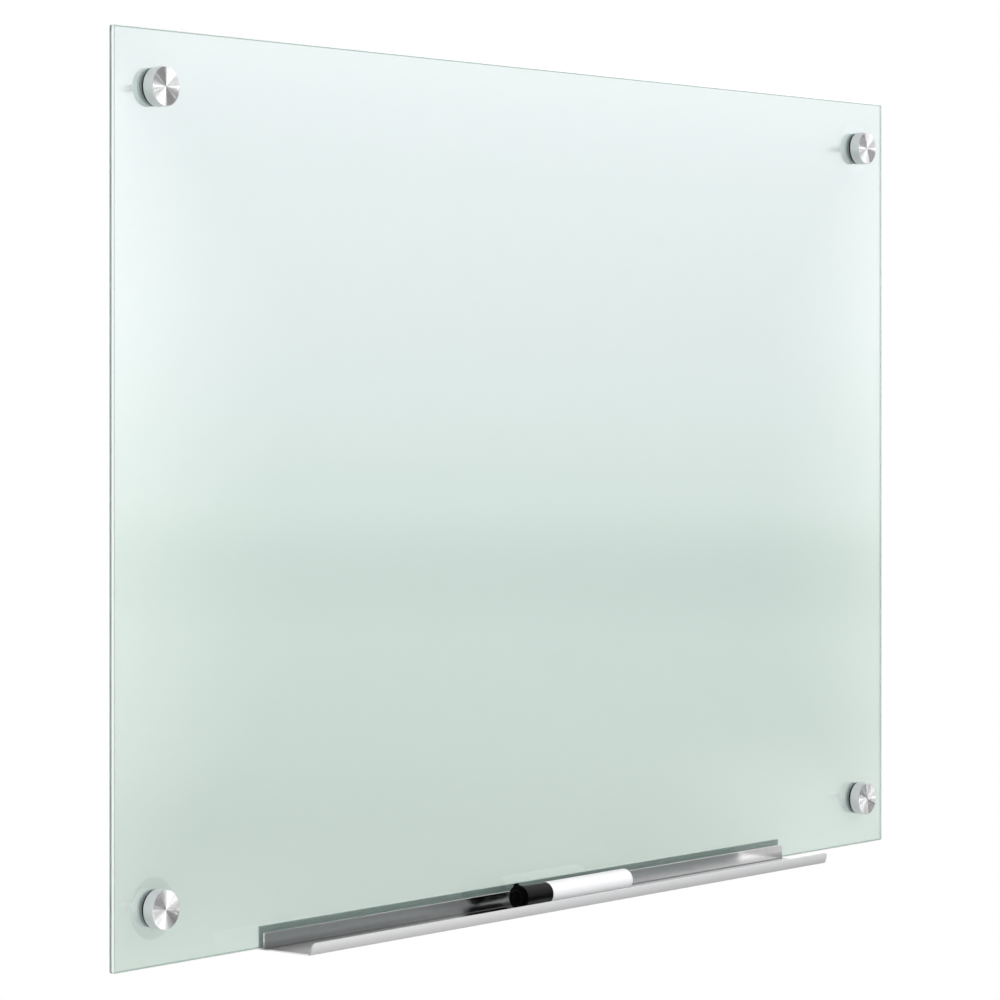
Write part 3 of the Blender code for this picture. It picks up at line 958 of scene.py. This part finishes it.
@dataclass
class GlassBoard:
    """The glass panel, with rounded corners, eased edges and four drilled holes."""

    finishes: Finishes
    corner_radius: float = 0.002
    corner_steps: int = 10
    arris: float = 0.0004
    arris_steps: int = 3
    hole_sides: int = 64

    def build(self) -> None:
        """Builds the panel."""
        low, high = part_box("glass_panel")
        corners = [(low.x, low.z), (high.x, low.z), (high.x, high.z), (low.x, high.z)]
        outline = eased([(*corner, self.corner_radius) for corner in corners], steps=self.corner_steps)
        depth = high.y - low.y
        panel = Bench.sheet("panel_glass", [(x, high.y, z) for x, z in outline], (0, -depth, 0))
        for corner in Corner:
            sleeve_low, sleeve_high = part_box(f"hole_sleeve_{corner.value}")
            middle = (sleeve_low + sleeve_high) / 2
            radius = (sleeve_high.x - sleeve_low.x) / 2 + SEAT_GAP
            drill = [(radius, -depth), (radius, depth * 2)]
            start = (middle.x, high.y, middle.z)
            Bench.carve(panel, Bench.turn("drill", start, Along.OUT, drill, self.hole_sides))
        Bench.ease(panel, self.arris, self.arris_steps)
        Role("panel_glass", "glass_panel", "panel", "glass", self.finishes.glass).give(panel)


@dataclass
class Standoffs:
    """The four fixings that hold the glass off the wall, modelled once and copied to each corner."""

    finishes: Finishes
    sides: int = 96
    first: Corner = Corner.TOP_LEFT
    hollow_radius: float = 0.0044
    screw_hole_radius: float = 0.0026
    barrel_base: float = 0.0016
    barrel_edge: float = 0.0004
    barrel_mouth: float = 0.0003
    hole_edge: float = 0.0002
    cap_front_ease: float = 0.00055
    cap_back_ease: float = 0.0003
    cap_ease_steps: int = 8
    cap_recess: float = 0.0004
    cap_rim: float = 0.0025
    cap_smooth: float = math.radians(12)
    groove_pitch: float = 0.00035
    groove_slope: float = 0.5
    groove_steps: int = 4
    groove_core: float = 0.15
    front_washer_ease: float = 0.0005
    rear_washer_ease: float = 0.0003
    stud_ease: float = 0.0006
    thread_depth: float = 0.0009
    stud_pitch: float = 0.0015
    screw_shank: float = 0.0023
    screw_thread_depth: float = 0.0007
    screw_pitch: float = 0.0021
    screw_tip: float = 0.005
    screw_tip_ease: float = 0.001
    screw_point: float = 0.12
    screw_thread_start: float = 0.7
    screw_thread_stop: float = 0.003
    screw_neck: Span = (0.004, 0.0035)
    screw_head: float = 0.0024
    screw_head_ease: float = 0.001
    recess_width: float = 0.0009
    recess_length: float = 0.0044
    recess_depth: float = 0.0014

    def span(self, piece: str) -> tuple[Point, float, float]:
        """Where a turned node lies.

        Args:
            piece: The node's name without its corner.

        Returns:
            The point where its axis leaves its rear end, its radius, and its length.
        """
        low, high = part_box(f"{piece}_{self.first.value}")
        middle = (low + high) / 2
        return (middle.x, high.y, middle.z), (high.z - low.z) / 2, high.y - low.y

    def bore(self) -> float:
        """The radius of the bores that the stud runs through."""
        return self.span("standoff_stud")[1] + SEAT_GAP

    def spread(self, piece: Piece, role: Role) -> None:
        """Copies a piece to the other corners and gives all four their role.

        Args:
            piece: The piece at the first corner.
            role: Its role, without its corner.
        """
        home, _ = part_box(role.at(self.first).node)
        for corner in Corner:
            here = role.at(corner)
            there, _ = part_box(here.node)
            here.give(piece if corner is self.first else Bench.copy(piece, here.name, there - home))

    def build(self) -> None:
        """Builds the pieces, from the front to the wall."""
        made = self.finishes
        self.spread(self.build_cap(), Role("cap", "standoff_cap", "cap_{}", "cap_steel", made.cap))
        pad = self.build_washer("front_washer", self.front_washer_ease)
        self.spread(pad, Role("pad", "front_washer", "washer_{}", "washer_rubber", made.washer))
        sleeve = self.build_washer("hole_sleeve", self.hole_edge)
        self.spread(sleeve, Role("sleeve", "hole_sleeve", "panel", "sleeve_nylon", made.sleeve))
        back_pad = self.build_washer("rear_washer", self.rear_washer_ease)
        self.spread(back_pad, Role("back_pad", "rear_washer", "panel", "sleeve_nylon", made.sleeve))
        barrel = self.build_barrel()
        self.spread(barrel, Role("barrel", "standoff_barrel", "panel", "barrel_steel", made.barrel))
        self.spread(self.build_stud(), Role("stud", "standoff_stud", "panel", "stud_steel", made.stud))
        self.spread(self.build_screw(), Role("screw", "wall_screw", "panel", "screw_steel", made.screw))

    def build_cap(self) -> Piece:
        """The cap, whose front face has the fine scalloped rings that a lathe leaves.

        Returns:
            The cap.
        """
        centre, radius, length = self.span("standoff_cap")
        (_, stud_back, _), _, stud_length = self.span("standoff_stud")
        bore = self.bore()
        recess = radius - self.cap_rim
        corners = [
            (bore, stud_length - (stud_back - centre[1]) + SEAT_GAP, 0),
            (bore, self.cap_recess, 0),
            (recess, self.cap_recess, 0),
            (recess, 0, 0),
            (radius, 0, self.cap_back_ease),
            (radius, length, self.cap_front_ease),
            (recess, length, 0),
        ]
        profile = eased(corners, steps=self.cap_ease_steps)[:-1]
        edge = radius - self.cap_front_ease
        count = int(edge / self.groove_pitch)
        pitch = edge / count
        for groove in range(count):
            outer = edge - groove * pitch
            for step in range(1, self.groove_steps + 1):
                share = step / self.groove_steps
                ring = outer - share * pitch
                if ring > pitch * self.groove_core:
                    profile.append((ring, length - self.groove_slope * pitch * share * (1 - share)))
        cap = Bench.turn("cap", centre, Along.OUT, profile, self.sides)
        return Bench.smooth(cap, self.cap_smooth)

    def build_washer(self, piece: str, ease: float) -> Piece:
        """A washer or a sleeve of the size of its node.

        Args:
            piece: The node's name without its corner.
            ease: The rounding of its outer edges.

        Returns:
            The washer.
        """
        centre, radius, length = self.span(piece)
        bore = self.bore()
        small = ease / 3
        corners = [(bore, 0, small), (radius, 0, ease), (radius, length, ease), (bore, length, small)]
        return Bench.turn(piece, centre, Along.OUT, eased(corners, is_ring=True), self.sides)

    def build_barrel(self) -> Piece:
        """The barrel against the wall, whose base the screw goes through.

        Returns:
            The barrel.
        """
        centre, radius, length = self.span("standoff_barrel")
        bore = self.bore()
        corners = [
            (self.screw_hole_radius, 0, self.hole_edge),
            (radius, 0, self.barrel_edge),
            (radius, length, self.barrel_edge),
            (bore, length, self.barrel_mouth),
            (bore, self.barrel_base, 0),
            (self.screw_hole_radius, self.barrel_base, self.hole_edge),
        ]
        return Bench.turn("barrel", centre, Along.OUT, eased(corners, is_ring=True), self.sides)

    def build_stud(self) -> Piece:
        """The hollow stud, with its thread.

        Returns:
            The stud.
        """
        centre, radius, length = self.span("standoff_stud")
        core = radius - self.thread_depth
        corners = [
            (self.hollow_radius, 0, self.hole_edge),
            (core, 0, self.stud_ease),
            (core, length, self.stud_ease),
            (self.hollow_radius, length, self.hole_edge),
        ]
        stud = Bench.turn("stud", centre, Along.OUT, eased(corners, is_ring=True), self.sides // 2)
        Bench.add_thread(stud, centre, (0, length), (core, radius), self.stud_pitch)
        return stud

    def build_screw(self) -> Piece:
        """The wall screw, with its thread, point and cross-recessed head.

        Returns:
            The screw.
        """
        centre, head_radius, length = self.span("wall_screw")
        core = self.screw_shank - self.screw_thread_depth
        head = length - self.screw_head
        neck_start, neck_end = self.screw_neck
        corners = [
            (core * self.screw_point, 0, 0),
            (core, self.screw_tip, self.screw_tip_ease),
            (core, head - neck_start, 0),
            (self.screw_shank, head - neck_end, 0),
            (self.screw_shank, head, 0),
            (head_radius, head, self.hole_edge),
            (head_radius, length, self.screw_head_ease),
            (self.recess_width, length, 0),
        ]
        screw = Bench.turn("screw", centre, Along.OUT, eased(corners), self.sides // 2)
        middle = (centre[0], centre[1] - length, centre[2])
        for across, up in ((self.recess_length, self.recess_width), (self.recess_width, self.recess_length)):
            Bench.carve(screw, Bench.block("driver", middle, (across, self.recess_depth * 2, up)))
        ends = (self.screw_tip * self.screw_thread_start, head - self.screw_thread_stop)
        Bench.add_thread(screw, centre, ends, (core, self.screw_shank), self.screw_pitch)
        return screw


@dataclass
class MarkerTray:
    """The aluminium tray and the rubber strip that makes it grip the glass."""

    finishes: Finishes
    floor_thickness: float = 0.0009
    wall_thickness: float = 0.0012
    lip_thickness: float = 0.001
    flange_height: float = 0.0104
    lip_height: float = 0.007
    lip_lean: float = math.radians(16)
    bend_radius: float = 0.0022
    bend_steps: int = 6
    heel_radius: float = 0.0008
    fillet: float = 0.0003
    lip_corner: float = 0.0032
    lip_corner_steps: int = 8
    wall_corner: float = 0.0006
    wall_corner_steps: int = 4
    edge: float = 0.00016
    edge_steps: int = 2
    near: float = 0.00002
    near_lip: float = 0.002
    strip_base: float = 0.0005
    strip_ribs: int = 5
    rib_steps: int = 8
    rib_smooth: float = math.radians(50)

    def build(self) -> None:
        """Builds the pieces."""
        self.build_tray()
        self.build_strip()

    def build_tray(self) -> None:
        """The tray, an extrusion with rounded ends to its lip, flange and rear wall."""
        low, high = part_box("marker_tray")
        glass_low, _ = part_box("glass_panel")
        floor = glass_low.z - SEAT_GAP
        under = floor - self.floor_thickness
        flange_back = glass_low.y - SEAT_GAP
        flange_front = flange_back - self.wall_thickness
        flange_top = glass_low.z + self.flange_height
        rear_front = high.y - self.wall_thickness
        lean = Vector((-math.sin(self.lip_lean), math.cos(self.lip_lean)))
        outward = Vector((-lean.y, lean.x))
        top = Vector((low.y, glass_low.z + self.lip_height))
        top_inner = top - outward * self.lip_thickness
        heel = top - lean * ((top.y - under) / lean.y)
        heel_inner = top_inner - lean * ((top_inner.y - floor) / lean.y)
        reach = math.tan((math.pi / 2 - self.lip_lean) / 2)
        corners = [
            (high.y, high.z, 0),
            (high.y, under, self.heel_radius),
            (heel.x, under, self.bend_radius * reach),
            (top.x, top.y, 0),
            (top_inner.x, top_inner.y, 0),
            (heel_inner.x, floor, (self.bend_radius - self.lip_thickness) * reach),
            (flange_front, floor, self.fillet),
            (flange_front, flange_top, 0),
            (flange_back, flange_top, 0),
            (flange_back, floor, 0),
            (rear_front, floor, 0),
            (rear_front, high.z, 0),
        ]
        outline = [(low.x, y, z) for y, z in eased(corners, steps=self.bend_steps)]
        tray = Bench.sheet("tray", outline, (high.x - low.x, 0, 0))

        def is_end(first: Vector, second: Vector) -> bool:
            """Whether an edge lies in a cut end."""
            to_end = min(abs(first.x - low.x), abs(first.x - high.x))
            return abs(first.x - second.x) < self.near and to_end < self.near

        def is_at_lip(point: Vector) -> bool:
            """Whether a point lies at the lip's top."""
            return abs(point.z - top.y) < self.lip_thickness and point.y < top.x + self.near_lip

        def is_lip_end(first: Vector, second: Vector) -> bool:
            """Whether an edge crosses the lip's top at an end."""
            is_level = abs(first.z - second.z) < self.lip_thickness / 2
            return is_end(first, second) and is_at_lip(first) and is_at_lip(second) and is_level

        def is_wall_end(first: Vector, second: Vector) -> bool:
            """Whether an edge crosses the flange's or the rear wall's top at an end."""
            is_level = abs(first.z - second.z) < self.near
            return is_end(first, second) and is_level and first.z > flange_top - self.near

        Bench.round_edges(tray, is_lip_end, self.lip_corner, self.lip_corner_steps)
        Bench.round_edges(tray, is_wall_end, self.wall_corner, self.wall_corner_steps)
        Bench.ease(tray, self.edge, self.edge_steps)
        Role("tray", "marker_tray", "tray", "tray_aluminium", self.finishes.tray).give(tray)

    def build_strip(self) -> None:
        """The strip, with rounded ribs that run along it."""
        low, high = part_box("tray_grip_strip")
        pitch = (high.z - low.z) / self.strip_ribs
        base = high.y - self.strip_base
        outline = [(low.x, high.y, high.z), (low.x, high.y, low.z)]
        for step in range(self.strip_ribs * self.rib_steps + 1):
            turn = step / self.rib_steps
            swell = (1 - math.cos(math.tau * turn)) / 2
            outline.append((low.x, base - (base - low.y) * swell, low.z + pitch * turn))
        strip = Bench.smooth(Bench.sheet("grip_strip", outline, (high.x - low.x, 0, 0)), self.rib_smooth)
        Role("grip_strip", "tray_grip_strip", "tray", "grip_rubber", self.finishes.grip).give(strip)


@dataclass
class Marker:
    """The capped marker in the tray."""

    finishes: Finishes
    sides: int = 72
    length: float = 0.133
    radius: float = 0.008
    bore: float = 0.0056
    neck_radius: float = 0.0067
    neck_length: float = 0.015
    cap_length: float = 0.0348
    cap_mouth: float = 0.0082
    cap_body: float = 0.0085
    cap_flange: float = 0.009
    flange_start: float = 0.0038
    flange_end: float = 0.0054
    boss: float = 0.0058
    recess: float = 0.0046
    recess_slope: float = 0.0005
    recess_depth: float = 0.0014
    nub: float = 0.0013
    nub_height: float = 0.0009
    end_wall: float = 0.0016
    inner_length: float = 0.0135
    tab_width: float = 0.0046
    tab_height: float = 0.0014
    tab_tilt: float = math.radians(18)
    tab_ease: float = 0.00045
    tab_steps: int = 4
    tab_inset: float = 0.0004
    plug_length: float = 0.009
    plug_head: float = 0.0016
    plug_dome: float = 0.0014
    holder_flange: float = 0.0015
    holder_plug: float = 0.008
    holder_inset: float = 0.0004
    cone_length: float = 0.0065
    cone_radius: float = 0.0049
    tip_radius: float = 0.0034
    nib_radius: float = 0.0022
    nib_reach: float = 0.005
    bullet: float = 0.9
    nub_flat: float = 0.3
    plug_flat: float = 0.5
    tip_flat: float = 0.08
    end_flat: float = 0.4
    joint_edge: float = 0.00008
    seat_edge: float = 0.0001
    recess_edge: float = 0.00015
    flange_edge: float = 0.00035
    fine_edge: float = 0.0002
    small_edge: float = 0.0003
    edge: float = 0.0004
    wide_edge: float = 0.0005

    def start(self) -> Point:
        """Where the marker's places count from.

        Returns:
            The middle of the cap's outer end.
        """
        low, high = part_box("marker_barrel")
        cap_low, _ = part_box("marker_cap")
        return (cap_low.x, (low.y + high.y) / 2, (low.z + high.z) / 2)

    def neck(self) -> float:
        """Where the barrel's neck starts."""
        return self.cap_length + SEAT_GAP - self.neck_length

    def build(self) -> None:
        """Builds the pieces."""
        made = self.finishes
        shell = self.turned("marker_cap_shell", self.cap())
        self.add_tab(shell)
        Role("marker_cap_shell", "marker_cap", "marker_cap", "marker_black", made.black).give(shell)
        for name, node, slot, finish, corners, is_ring in (
            ("marker_tube", "marker_barrel", "marker_white", made.white, self.tube(), True),
            ("marker_plug", "marker_end_plug", "marker_white", made.white, self.plug(), False),
            ("marker_cone", "marker_nib_holder", "marker_black", made.black, self.cone(), True),
            ("marker_tip", "marker_nib", "marker_felt", made.felt, self.tip(), False),
            ("marker_fibre_core", "marker_reservoir", "marker_fibre", made.fibre, self.core(), False),
        ):
            Role(name, node, "marker", slot, finish).give(self.turned(name, corners, is_ring))

    def turned(self, name: str, corners: list, is_ring: bool = False) -> Piece:
        """A piece turned about the marker's axis.

        Args:
            name: The piece's name.
            corners: Its outline's corners as (radius, place, ease) triples.
            is_ring: Whether it has a hole through it.

        Returns:
            The piece.
        """
        return Bench.turn(name, self.start(), Along.RIGHT, eased(corners, is_ring), self.sides)

    def cap(self) -> list:
        """The outline of the cap, with a recessed end and a flange.

        Returns:
            Its corners.
        """
        inner_start = self.recess_depth + self.end_wall
        inner_end = inner_start + self.inner_length
        nub_top = self.recess_depth - self.nub_height
        mouth = self.neck_radius + SEAT_GAP
        return [
            (self.nub * self.nub_flat, nub_top, 0),
            (self.nub, nub_top, self.wide_edge),
            (self.nub, self.recess_depth, 0),
            (self.recess - self.recess_slope, self.recess_depth, self.edge),
            (self.recess, 0, self.recess_edge),
            (self.boss, 0, self.wide_edge),
            (self.boss, self.flange_start, self.small_edge),
            (self.cap_flange, self.flange_start, self.edge),
            (self.cap_flange, self.flange_end, self.flange_edge),
            (self.cap_body, self.flange_end, self.fine_edge),
            (self.cap_mouth, self.cap_length, self.edge),
            (mouth, self.cap_length, self.fine_edge),
            (mouth, inner_end, 0),
            (self.bore, inner_end, 0),
            (self.bore, inner_start, 0),
        ]

    def add_tab(self, cap: Piece) -> None:
        """Adds the tab on the cap's flange that stops the marker rolling.

        Args:
            cap: The cap.
        """
        root = self.cap_body - self.tab_inset
        top = self.cap_flange + self.tab_height
        x, y, z = self.start()
        middle_radius = (root + top) / 2
        middle = (
            x + (self.flange_start + self.flange_end) / 2,
            y + middle_radius * math.sin(self.tab_tilt),
            z + middle_radius * math.cos(self.tab_tilt),
        )
        size = (self.flange_end - self.flange_start - self.tab_inset, self.tab_width, top - root)
        tab = Bench.block("tab", middle, size, (-self.tab_tilt, 0.0, 0.0))
        Bench.ease(tab, self.tab_ease, self.tab_steps)
        Bench.carve(cap, tab, "UNION")

    def tube(self) -> list:
        """The outline of the barrel, a tube with a neck that the cap slides onto.

        Returns:
            Its corners.
        """
        neck = self.neck()
        shoulder = self.cap_length + SEAT_GAP
        end = self.length - self.plug_head - SEAT_GAP
        return [
            (self.bore, neck, self.fine_edge),
            (self.bore, end, 0),
            (self.radius, end, self.joint_edge),
            (self.radius, shoulder, self.edge),
            (self.neck_radius, shoulder, self.fine_edge),
            (self.neck_radius, neck, self.wide_edge),
        ]

    def plug(self) -> list:
        """The outline of the plug that closes the barrel's end.

        Returns:
            Its corners.
        """
        head = self.length - self.plug_head
        inside = self.bore - SEAT_GAP
        return [
            (inside * self.plug_flat, head - self.plug_length, 0),
            (inside, head - self.plug_length, self.edge),
            (inside, head, 0),
            (self.radius, head, self.joint_edge),
            (self.radius, self.length, self.plug_dome),
            (self.radius * self.end_flat, self.length, 0),
        ]

    def cone(self) -> list:
        """The outline of the cone that holds the nib.

        Returns:
            Its corners.
        """
        back = self.neck() - SEAT_GAP
        cone = back - self.holder_flange
        end = back + self.holder_plug
        outside = self.neck_radius - self.holder_inset
        inside = self.bore - SEAT_GAP
        hole = self.nib_radius + SEAT_GAP
        return [
            (hole, cone - self.cone_length, self.fine_edge),
            (self.tip_radius, cone - self.cone_length, self.edge),
            (self.cone_radius, cone, self.small_edge),
            (outside, cone, self.small_edge),
            (outside, back, self.seat_edge),
            (inside, back, 0),
            (inside, end, self.small_edge),
            (hole, end, 0),
        ]

    def tip(self) -> list:
        """The outline of the nib, with a bullet tip.

        Returns:
            Its corners.
        """
        back = self.neck() - SEAT_GAP
        tip = back - self.holder_flange - self.cone_length - self.nib_reach
        end = back + self.holder_plug
        return [
            (self.nib_radius * self.tip_flat, tip, 0),
            (self.nib_radius, tip, self.nib_radius * self.bullet),
            (self.nib_radius, end, self.fine_edge),
            (self.nib_radius * self.end_flat, end, 0),
        ]

    def core(self) -> list:
        """The outline of the ink-soaked fibre.

        Returns:
            Its corners.
        """
        start = self.neck() + self.holder_plug
        end = self.length - self.plug_head - self.plug_length - SEAT_GAP
        radius = self.bore - SEAT_GAP
        inner = radius * self.end_flat
        return [(inner, start, 0), (radius, start, self.edge), (radius, end, self.edge), (inner, end, 0)]


@dataclass(frozen=True)
class Lamp:
    """A soft rectangular lamp, which lights the dull surfaces and isn't mirrored."""

    name: str
    place: Point
    size: Span
    power: float
    aim: Point = (0.0, 0.0, 0.0)

    def build(self) -> None:
        """Adds the lamp."""
        data = bpy.data.lights.new(self.name, "AREA")
        data.shape = "RECTANGLE"
        data.size, data.size_y = self.size
        data.energy = self.power
        lamp = bpy.data.objects.new(self.name, data)
        bpy.context.scene.collection.objects.link(lamp)
        lamp.location = self.place
        lamp.rotation_euler = (Vector(self.aim) - Vector(self.place)).to_track_quat("-Z", "Y").to_euler()
        lamp.visible_camera = lamp.visible_transmission = lamp.visible_glossy = False


@dataclass(frozen=True)
class Room:
    """A white background, and the room that metal and glass show.

    A span gives two heights or widths of a direction, from -1 to 1, between which a light rises or falls.
    """

    mirror_way: float = math.radians(52)
    plain: float = 0.62
    low_light: Colour = (0.915, 1.0, 0.9)
    low_light_back: Span = (0.1, 0.4)
    low_light_down: Span = (0.005, -0.03)
    backdrop: float = 0.6
    backdrop_parts: tuple = (
        (0.32, (-0.145, -0.07)),
        (0.2, (-0.035, 0.005)),
        (-0.11, (0.03, 0.08)),
        (0.3, (-0.135, -0.175)),
    )
    backdrop_edge: Span = (0.1, 0.75)
    beside: float = 0.7
    beside_rise: Span = (-0.7, 0.0)
    horizon: float = math.sin(math.radians(-2.25))
    horizon_blur: float = 0.009
    sky: float = 0.75
    sky_reach: float = 0.06
    near_level: float = 0.05
    near_down: Span = (-0.045, -0.085)
    band_level: float = 0.45
    band_top: Span = (-0.052, -0.07)
    band_foot: Span = (-0.118, -0.095)
    patch_level: float = 0.95
    patch_right: Span = (0.03, 0.08)
    patch_down: Span = (-0.09, -0.112)
    lift: float = 0.03
    box_level: float = 1.9
    box_stops: tuple = (
        (0.0, 0.16),
        (0.1, 0.26),
        (0.18, 0.75),
        (0.23, 1.0),
        (0.465, 1.0),
        (0.495, 0.03),
        (0.99, 0.03),
        (1.0, 0.16),
    )
    upper_left_level: float = 0.34
    upper_left_blur: float = 0.05
    strip_heights: Span = (0.065, -0.118)
    strip_width: float = 0.016
    strip_level: float = 2.4
    box_squash: Span = (0.78, 0.62)
    box_start: Span = (0.122, 0.142)
    ground_level: float = 0.78
    ground_down: Span = (-0.45, -0.55)
    ceiling_level: float = 0.3
    ceiling_up: Span = (0.62, 0.78)
    facing: Span = (-0.1, 0.15)
    rear_change: float = 0.12
    rear_waves: float = 8.0
    rear_shift: float = 1.0

    def build(self) -> None:
        """Builds the world."""
        world = bpy.data.worlds.new("studio")
        bpy.context.scene.world = world
        world.cycles.sampling_method = "NONE"
        tree = Tree(world)
        x, y, up = tree.split(tree.node("ShaderNodeTexCoord").outputs["Generated"])
        path = tree.node("ShaderNodeLightPath").outputs
        kinds = ("Is Camera Ray", "Is Transmission Ray", "Is Glossy Ray")
        seen, through, gloss = (Wire(tree, path[kind]) for kind in kinds)
        mirrored = gloss * self.in_front(tree, x, y, up) + (1 - gloss) * self.plain
        level = through * self.behind(x, y, up) + (1 - through) * mirrored
        green = through * y.step(*self.low_light_back) * up.step(*self.low_light_down)
        glow = {"Color": tree.mix(green, WHITE, self.low_light), "Strength": seen + (1 - seen) * level}
        surface = tree.wire("ShaderNodeBackground", None, glow)
        tree.node("ShaderNodeOutputWorld", None, {"Surface": surface})

    def behind(self, x: Wire, y: Wire, up: Wire) -> Wire:
        """What the glass lets through: a white backdrop behind the board that falls off towards the floor.

        Args:
            x: How far right a direction points.
            y: How far back it points.
            up: How far up it points.

        Returns:
            The light's level.
        """
        share = (x * math.sin(self.mirror_way) + y * math.cos(self.mirror_way)).step(*self.backdrop_edge)
        backdrop = sum((level * up.step(*ends) for level, ends in self.backdrop_parts), self.backdrop)
        beside = self.beside + (1 - self.beside) * up.step(*self.beside_rise)
        return share * backdrop + (1 - share) * beside

    def in_front(self, tree: Tree, x: Wire, y: Wire, up: Wire) -> Wire:
        """What metal and polished glass mirror.

        Straight ahead of a flat face lie a pale wall above the horizon and a dark floor with a pale band.
        Round them, where tilted faces look, stand tall soft boxes between dark screens.

        Args:
            tree: The world's tree.
            x: How far right a direction points.
            y: How far back it points.
            up: How far up it points.

        Returns:
            The light's level.
        """
        sine, cosine = math.sin(self.mirror_way), math.cos(self.mirror_way)
        right = x * cosine + y * sine
        ahead = x * sine - y * cosine
        lift = up + self.lift
        squashed = self.box_squash[0] * lift.most(0.0) + self.box_squash[1] * lift.least(0.0)
        reach = (right * right + squashed * squashed).root().step(*self.box_start)
        front = self.straight_ahead(right, up) * (1 - reach) + self.boxes(tree, right, up, lift) * reach
        ground = up.step(*self.ground_down)
        ceiling = up.step(*self.ceiling_up)
        front = front * (1 - ground.most(ceiling)) + self.ground_level * ground + self.ceiling_level * ceiling
        facing = ahead.step(*self.facing)
        rear = 1.0 + self.rear_change * (up * self.rear_waves + self.rear_shift).sine()
        return facing * front + (1 - facing) * rear

    def straight_ahead(self, right: Wire, up: Wire) -> Wire:
        """The pale wall above the horizon, and the floor with its band and its patch of light.

        Args:
            right: How far right of straight ahead a direction points.
            up: How far up it points.

        Returns:
            The light's level.
        """
        above = up.step(self.horizon - self.horizon_blur, self.horizon + self.horizon_blur)
        wall = above * (self.sky + (1 - self.sky) * up.step(self.horizon, self.horizon + self.sky_reach))
        near = self.near_level * up.step(*self.near_down)
        band = self.band_level * (up.step(*self.band_top) * up.step(*self.band_foot))
        patch = self.patch_level * (right.step(*self.patch_right) * up.step(*self.patch_down))
        return wall + (1 - above) * (near + band + patch)

    def boxes(self, tree: Tree, right: Wire, up: Wire, lift: Wire) -> Wire:
        """The soft boxes and screens that stand round the middle, and two bright strips.

        Args:
            tree: The world's tree.
            right: How far right of straight ahead a direction points.
            up: How far up it points.
            lift: How far above the middle it points.

        Returns:
            The light's level.
        """
        turn = (lift.angle(right) / math.pi + 1).fraction()
        level = tree.wire("ShaderNodeValToRGB", {"stops": self.box_stops}, {"Fac": turn}) * self.box_level
        upper_left = right.step(0.0, -self.upper_left_blur) * lift.step(0.0, self.upper_left_blur)
        level = level + self.upper_left_level * upper_left * (1 - level).most(0.0)
        for height in self.strip_heights:
            strip = abs(up - height).step(self.strip_width, self.strip_width / 2)
            level = level + self.strip_level * strip
        return level


@dataclass(frozen=True)
class Studio:
    """The camera at the photograph's place and angle, the lamps and the floor."""

    lens: float = 137.447
    sensor: float = 36.0
    shift: float = -0.1194
    clip: float = 0.05
    heading: float = math.radians(-51.8818)
    camera_x: float = -2.23082
    camera_out: float = 1.70651
    camera_up: float = 0.38091
    floor_drop: float = 0.9
    floor_radius: float = 1.7
    floor_fade: Span = (0.7, 1.615)
    floor_sides: int = 96
    floor_tones: tuple = ((0.86, 0.86, 0.86), (0.82, 0.82, 0.82))
    floor_cloud_scale: float = 2.0
    floor_cloud: float = 0.2
    floor_roughness: float = 0.8
    lamps: tuple = (
        Lamp("key", (2.6, -1.6, 1.5), (1.6, 1.2), 50.0),
        Lamp("top", (-0.6, -1.4, 2.4), (2.4, 1.6), 4.0),
        Lamp("front", (-1.2, -2.4, 0.1), (1.4, 1.0), 27.0, (0.0, 0.0, -0.2)),
    )

    def build(self) -> None:
        """Sets the studio."""
        self.build_camera()
        Room().build()
        self.build_floor()
        for lamp in self.lamps:
            lamp.build()
        bpy.context.scene.view_settings.view_transform = "Standard"

    def build_camera(self) -> None:
        """The camera."""
        low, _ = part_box("glass_panel")
        data = bpy.data.cameras.new("camera")
        data.lens = self.lens
        data.sensor_width = self.sensor
        data.shift_y = self.shift
        data.clip_start = self.clip
        camera = bpy.data.objects.new("camera", data)
        bpy.context.scene.collection.objects.link(camera)
        camera.location = (self.camera_x, low.y - self.camera_out, low.z + self.camera_up)
        camera.rotation_euler = (math.pi / 2, 0, self.heading)
        bpy.context.scene.camera = camera

    def build_floor(self) -> None:
        """A pale round floor under the board, which fades into the white background."""
        Bench.clear()
        low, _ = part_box("glass_panel")
        bpy.ops.mesh.primitive_circle_add(
            vertices=self.floor_sides,
            radius=self.floor_radius,
            fill_type="NGON",
            location=(0, 0, low.z - self.floor_drop),
        )
        floor = bpy.context.object
        floor.name = "floor"
        paint = Paint("pale_floor")
        tone = paint.mix(paint.noise(self.floor_cloud_scale) * self.floor_cloud, *self.floor_tones)
        dull = {"Base Color": tone, "Roughness": self.floor_roughness}
        matt = paint.wire("ShaderNodeBsdfPrincipled", None, dull)
        white = paint.wire("ShaderNodeEmission", None, {"Color": WHITE, "Strength": 1.0})
        far = (paint.x * paint.x + paint.y * paint.y).root().step(*self.floor_fade)
        far = far * Wire(paint, paint.node("ShaderNodeLightPath").outputs["Is Camera Ray"])
        mixed = paint.wire("ShaderNodeMixShader", None, {0: far, 1: matt, 2: white})
        paint.node("ShaderNodeOutputMaterial", None, {"Surface": mixed})
        floor.data.materials.append(paint.material)


def main() -> None:
    """Builds the board and its studio."""
    logging.basicConfig(level=logging.INFO, format="%(message)s")
    finishes = Finishes()
    Studio().build()
    GlassBoard(finishes).build()
    Standoffs(finishes).build()
    MarkerTray(finishes).build()
    Marker(finishes).build()


if __name__ == "__main__":
    main()
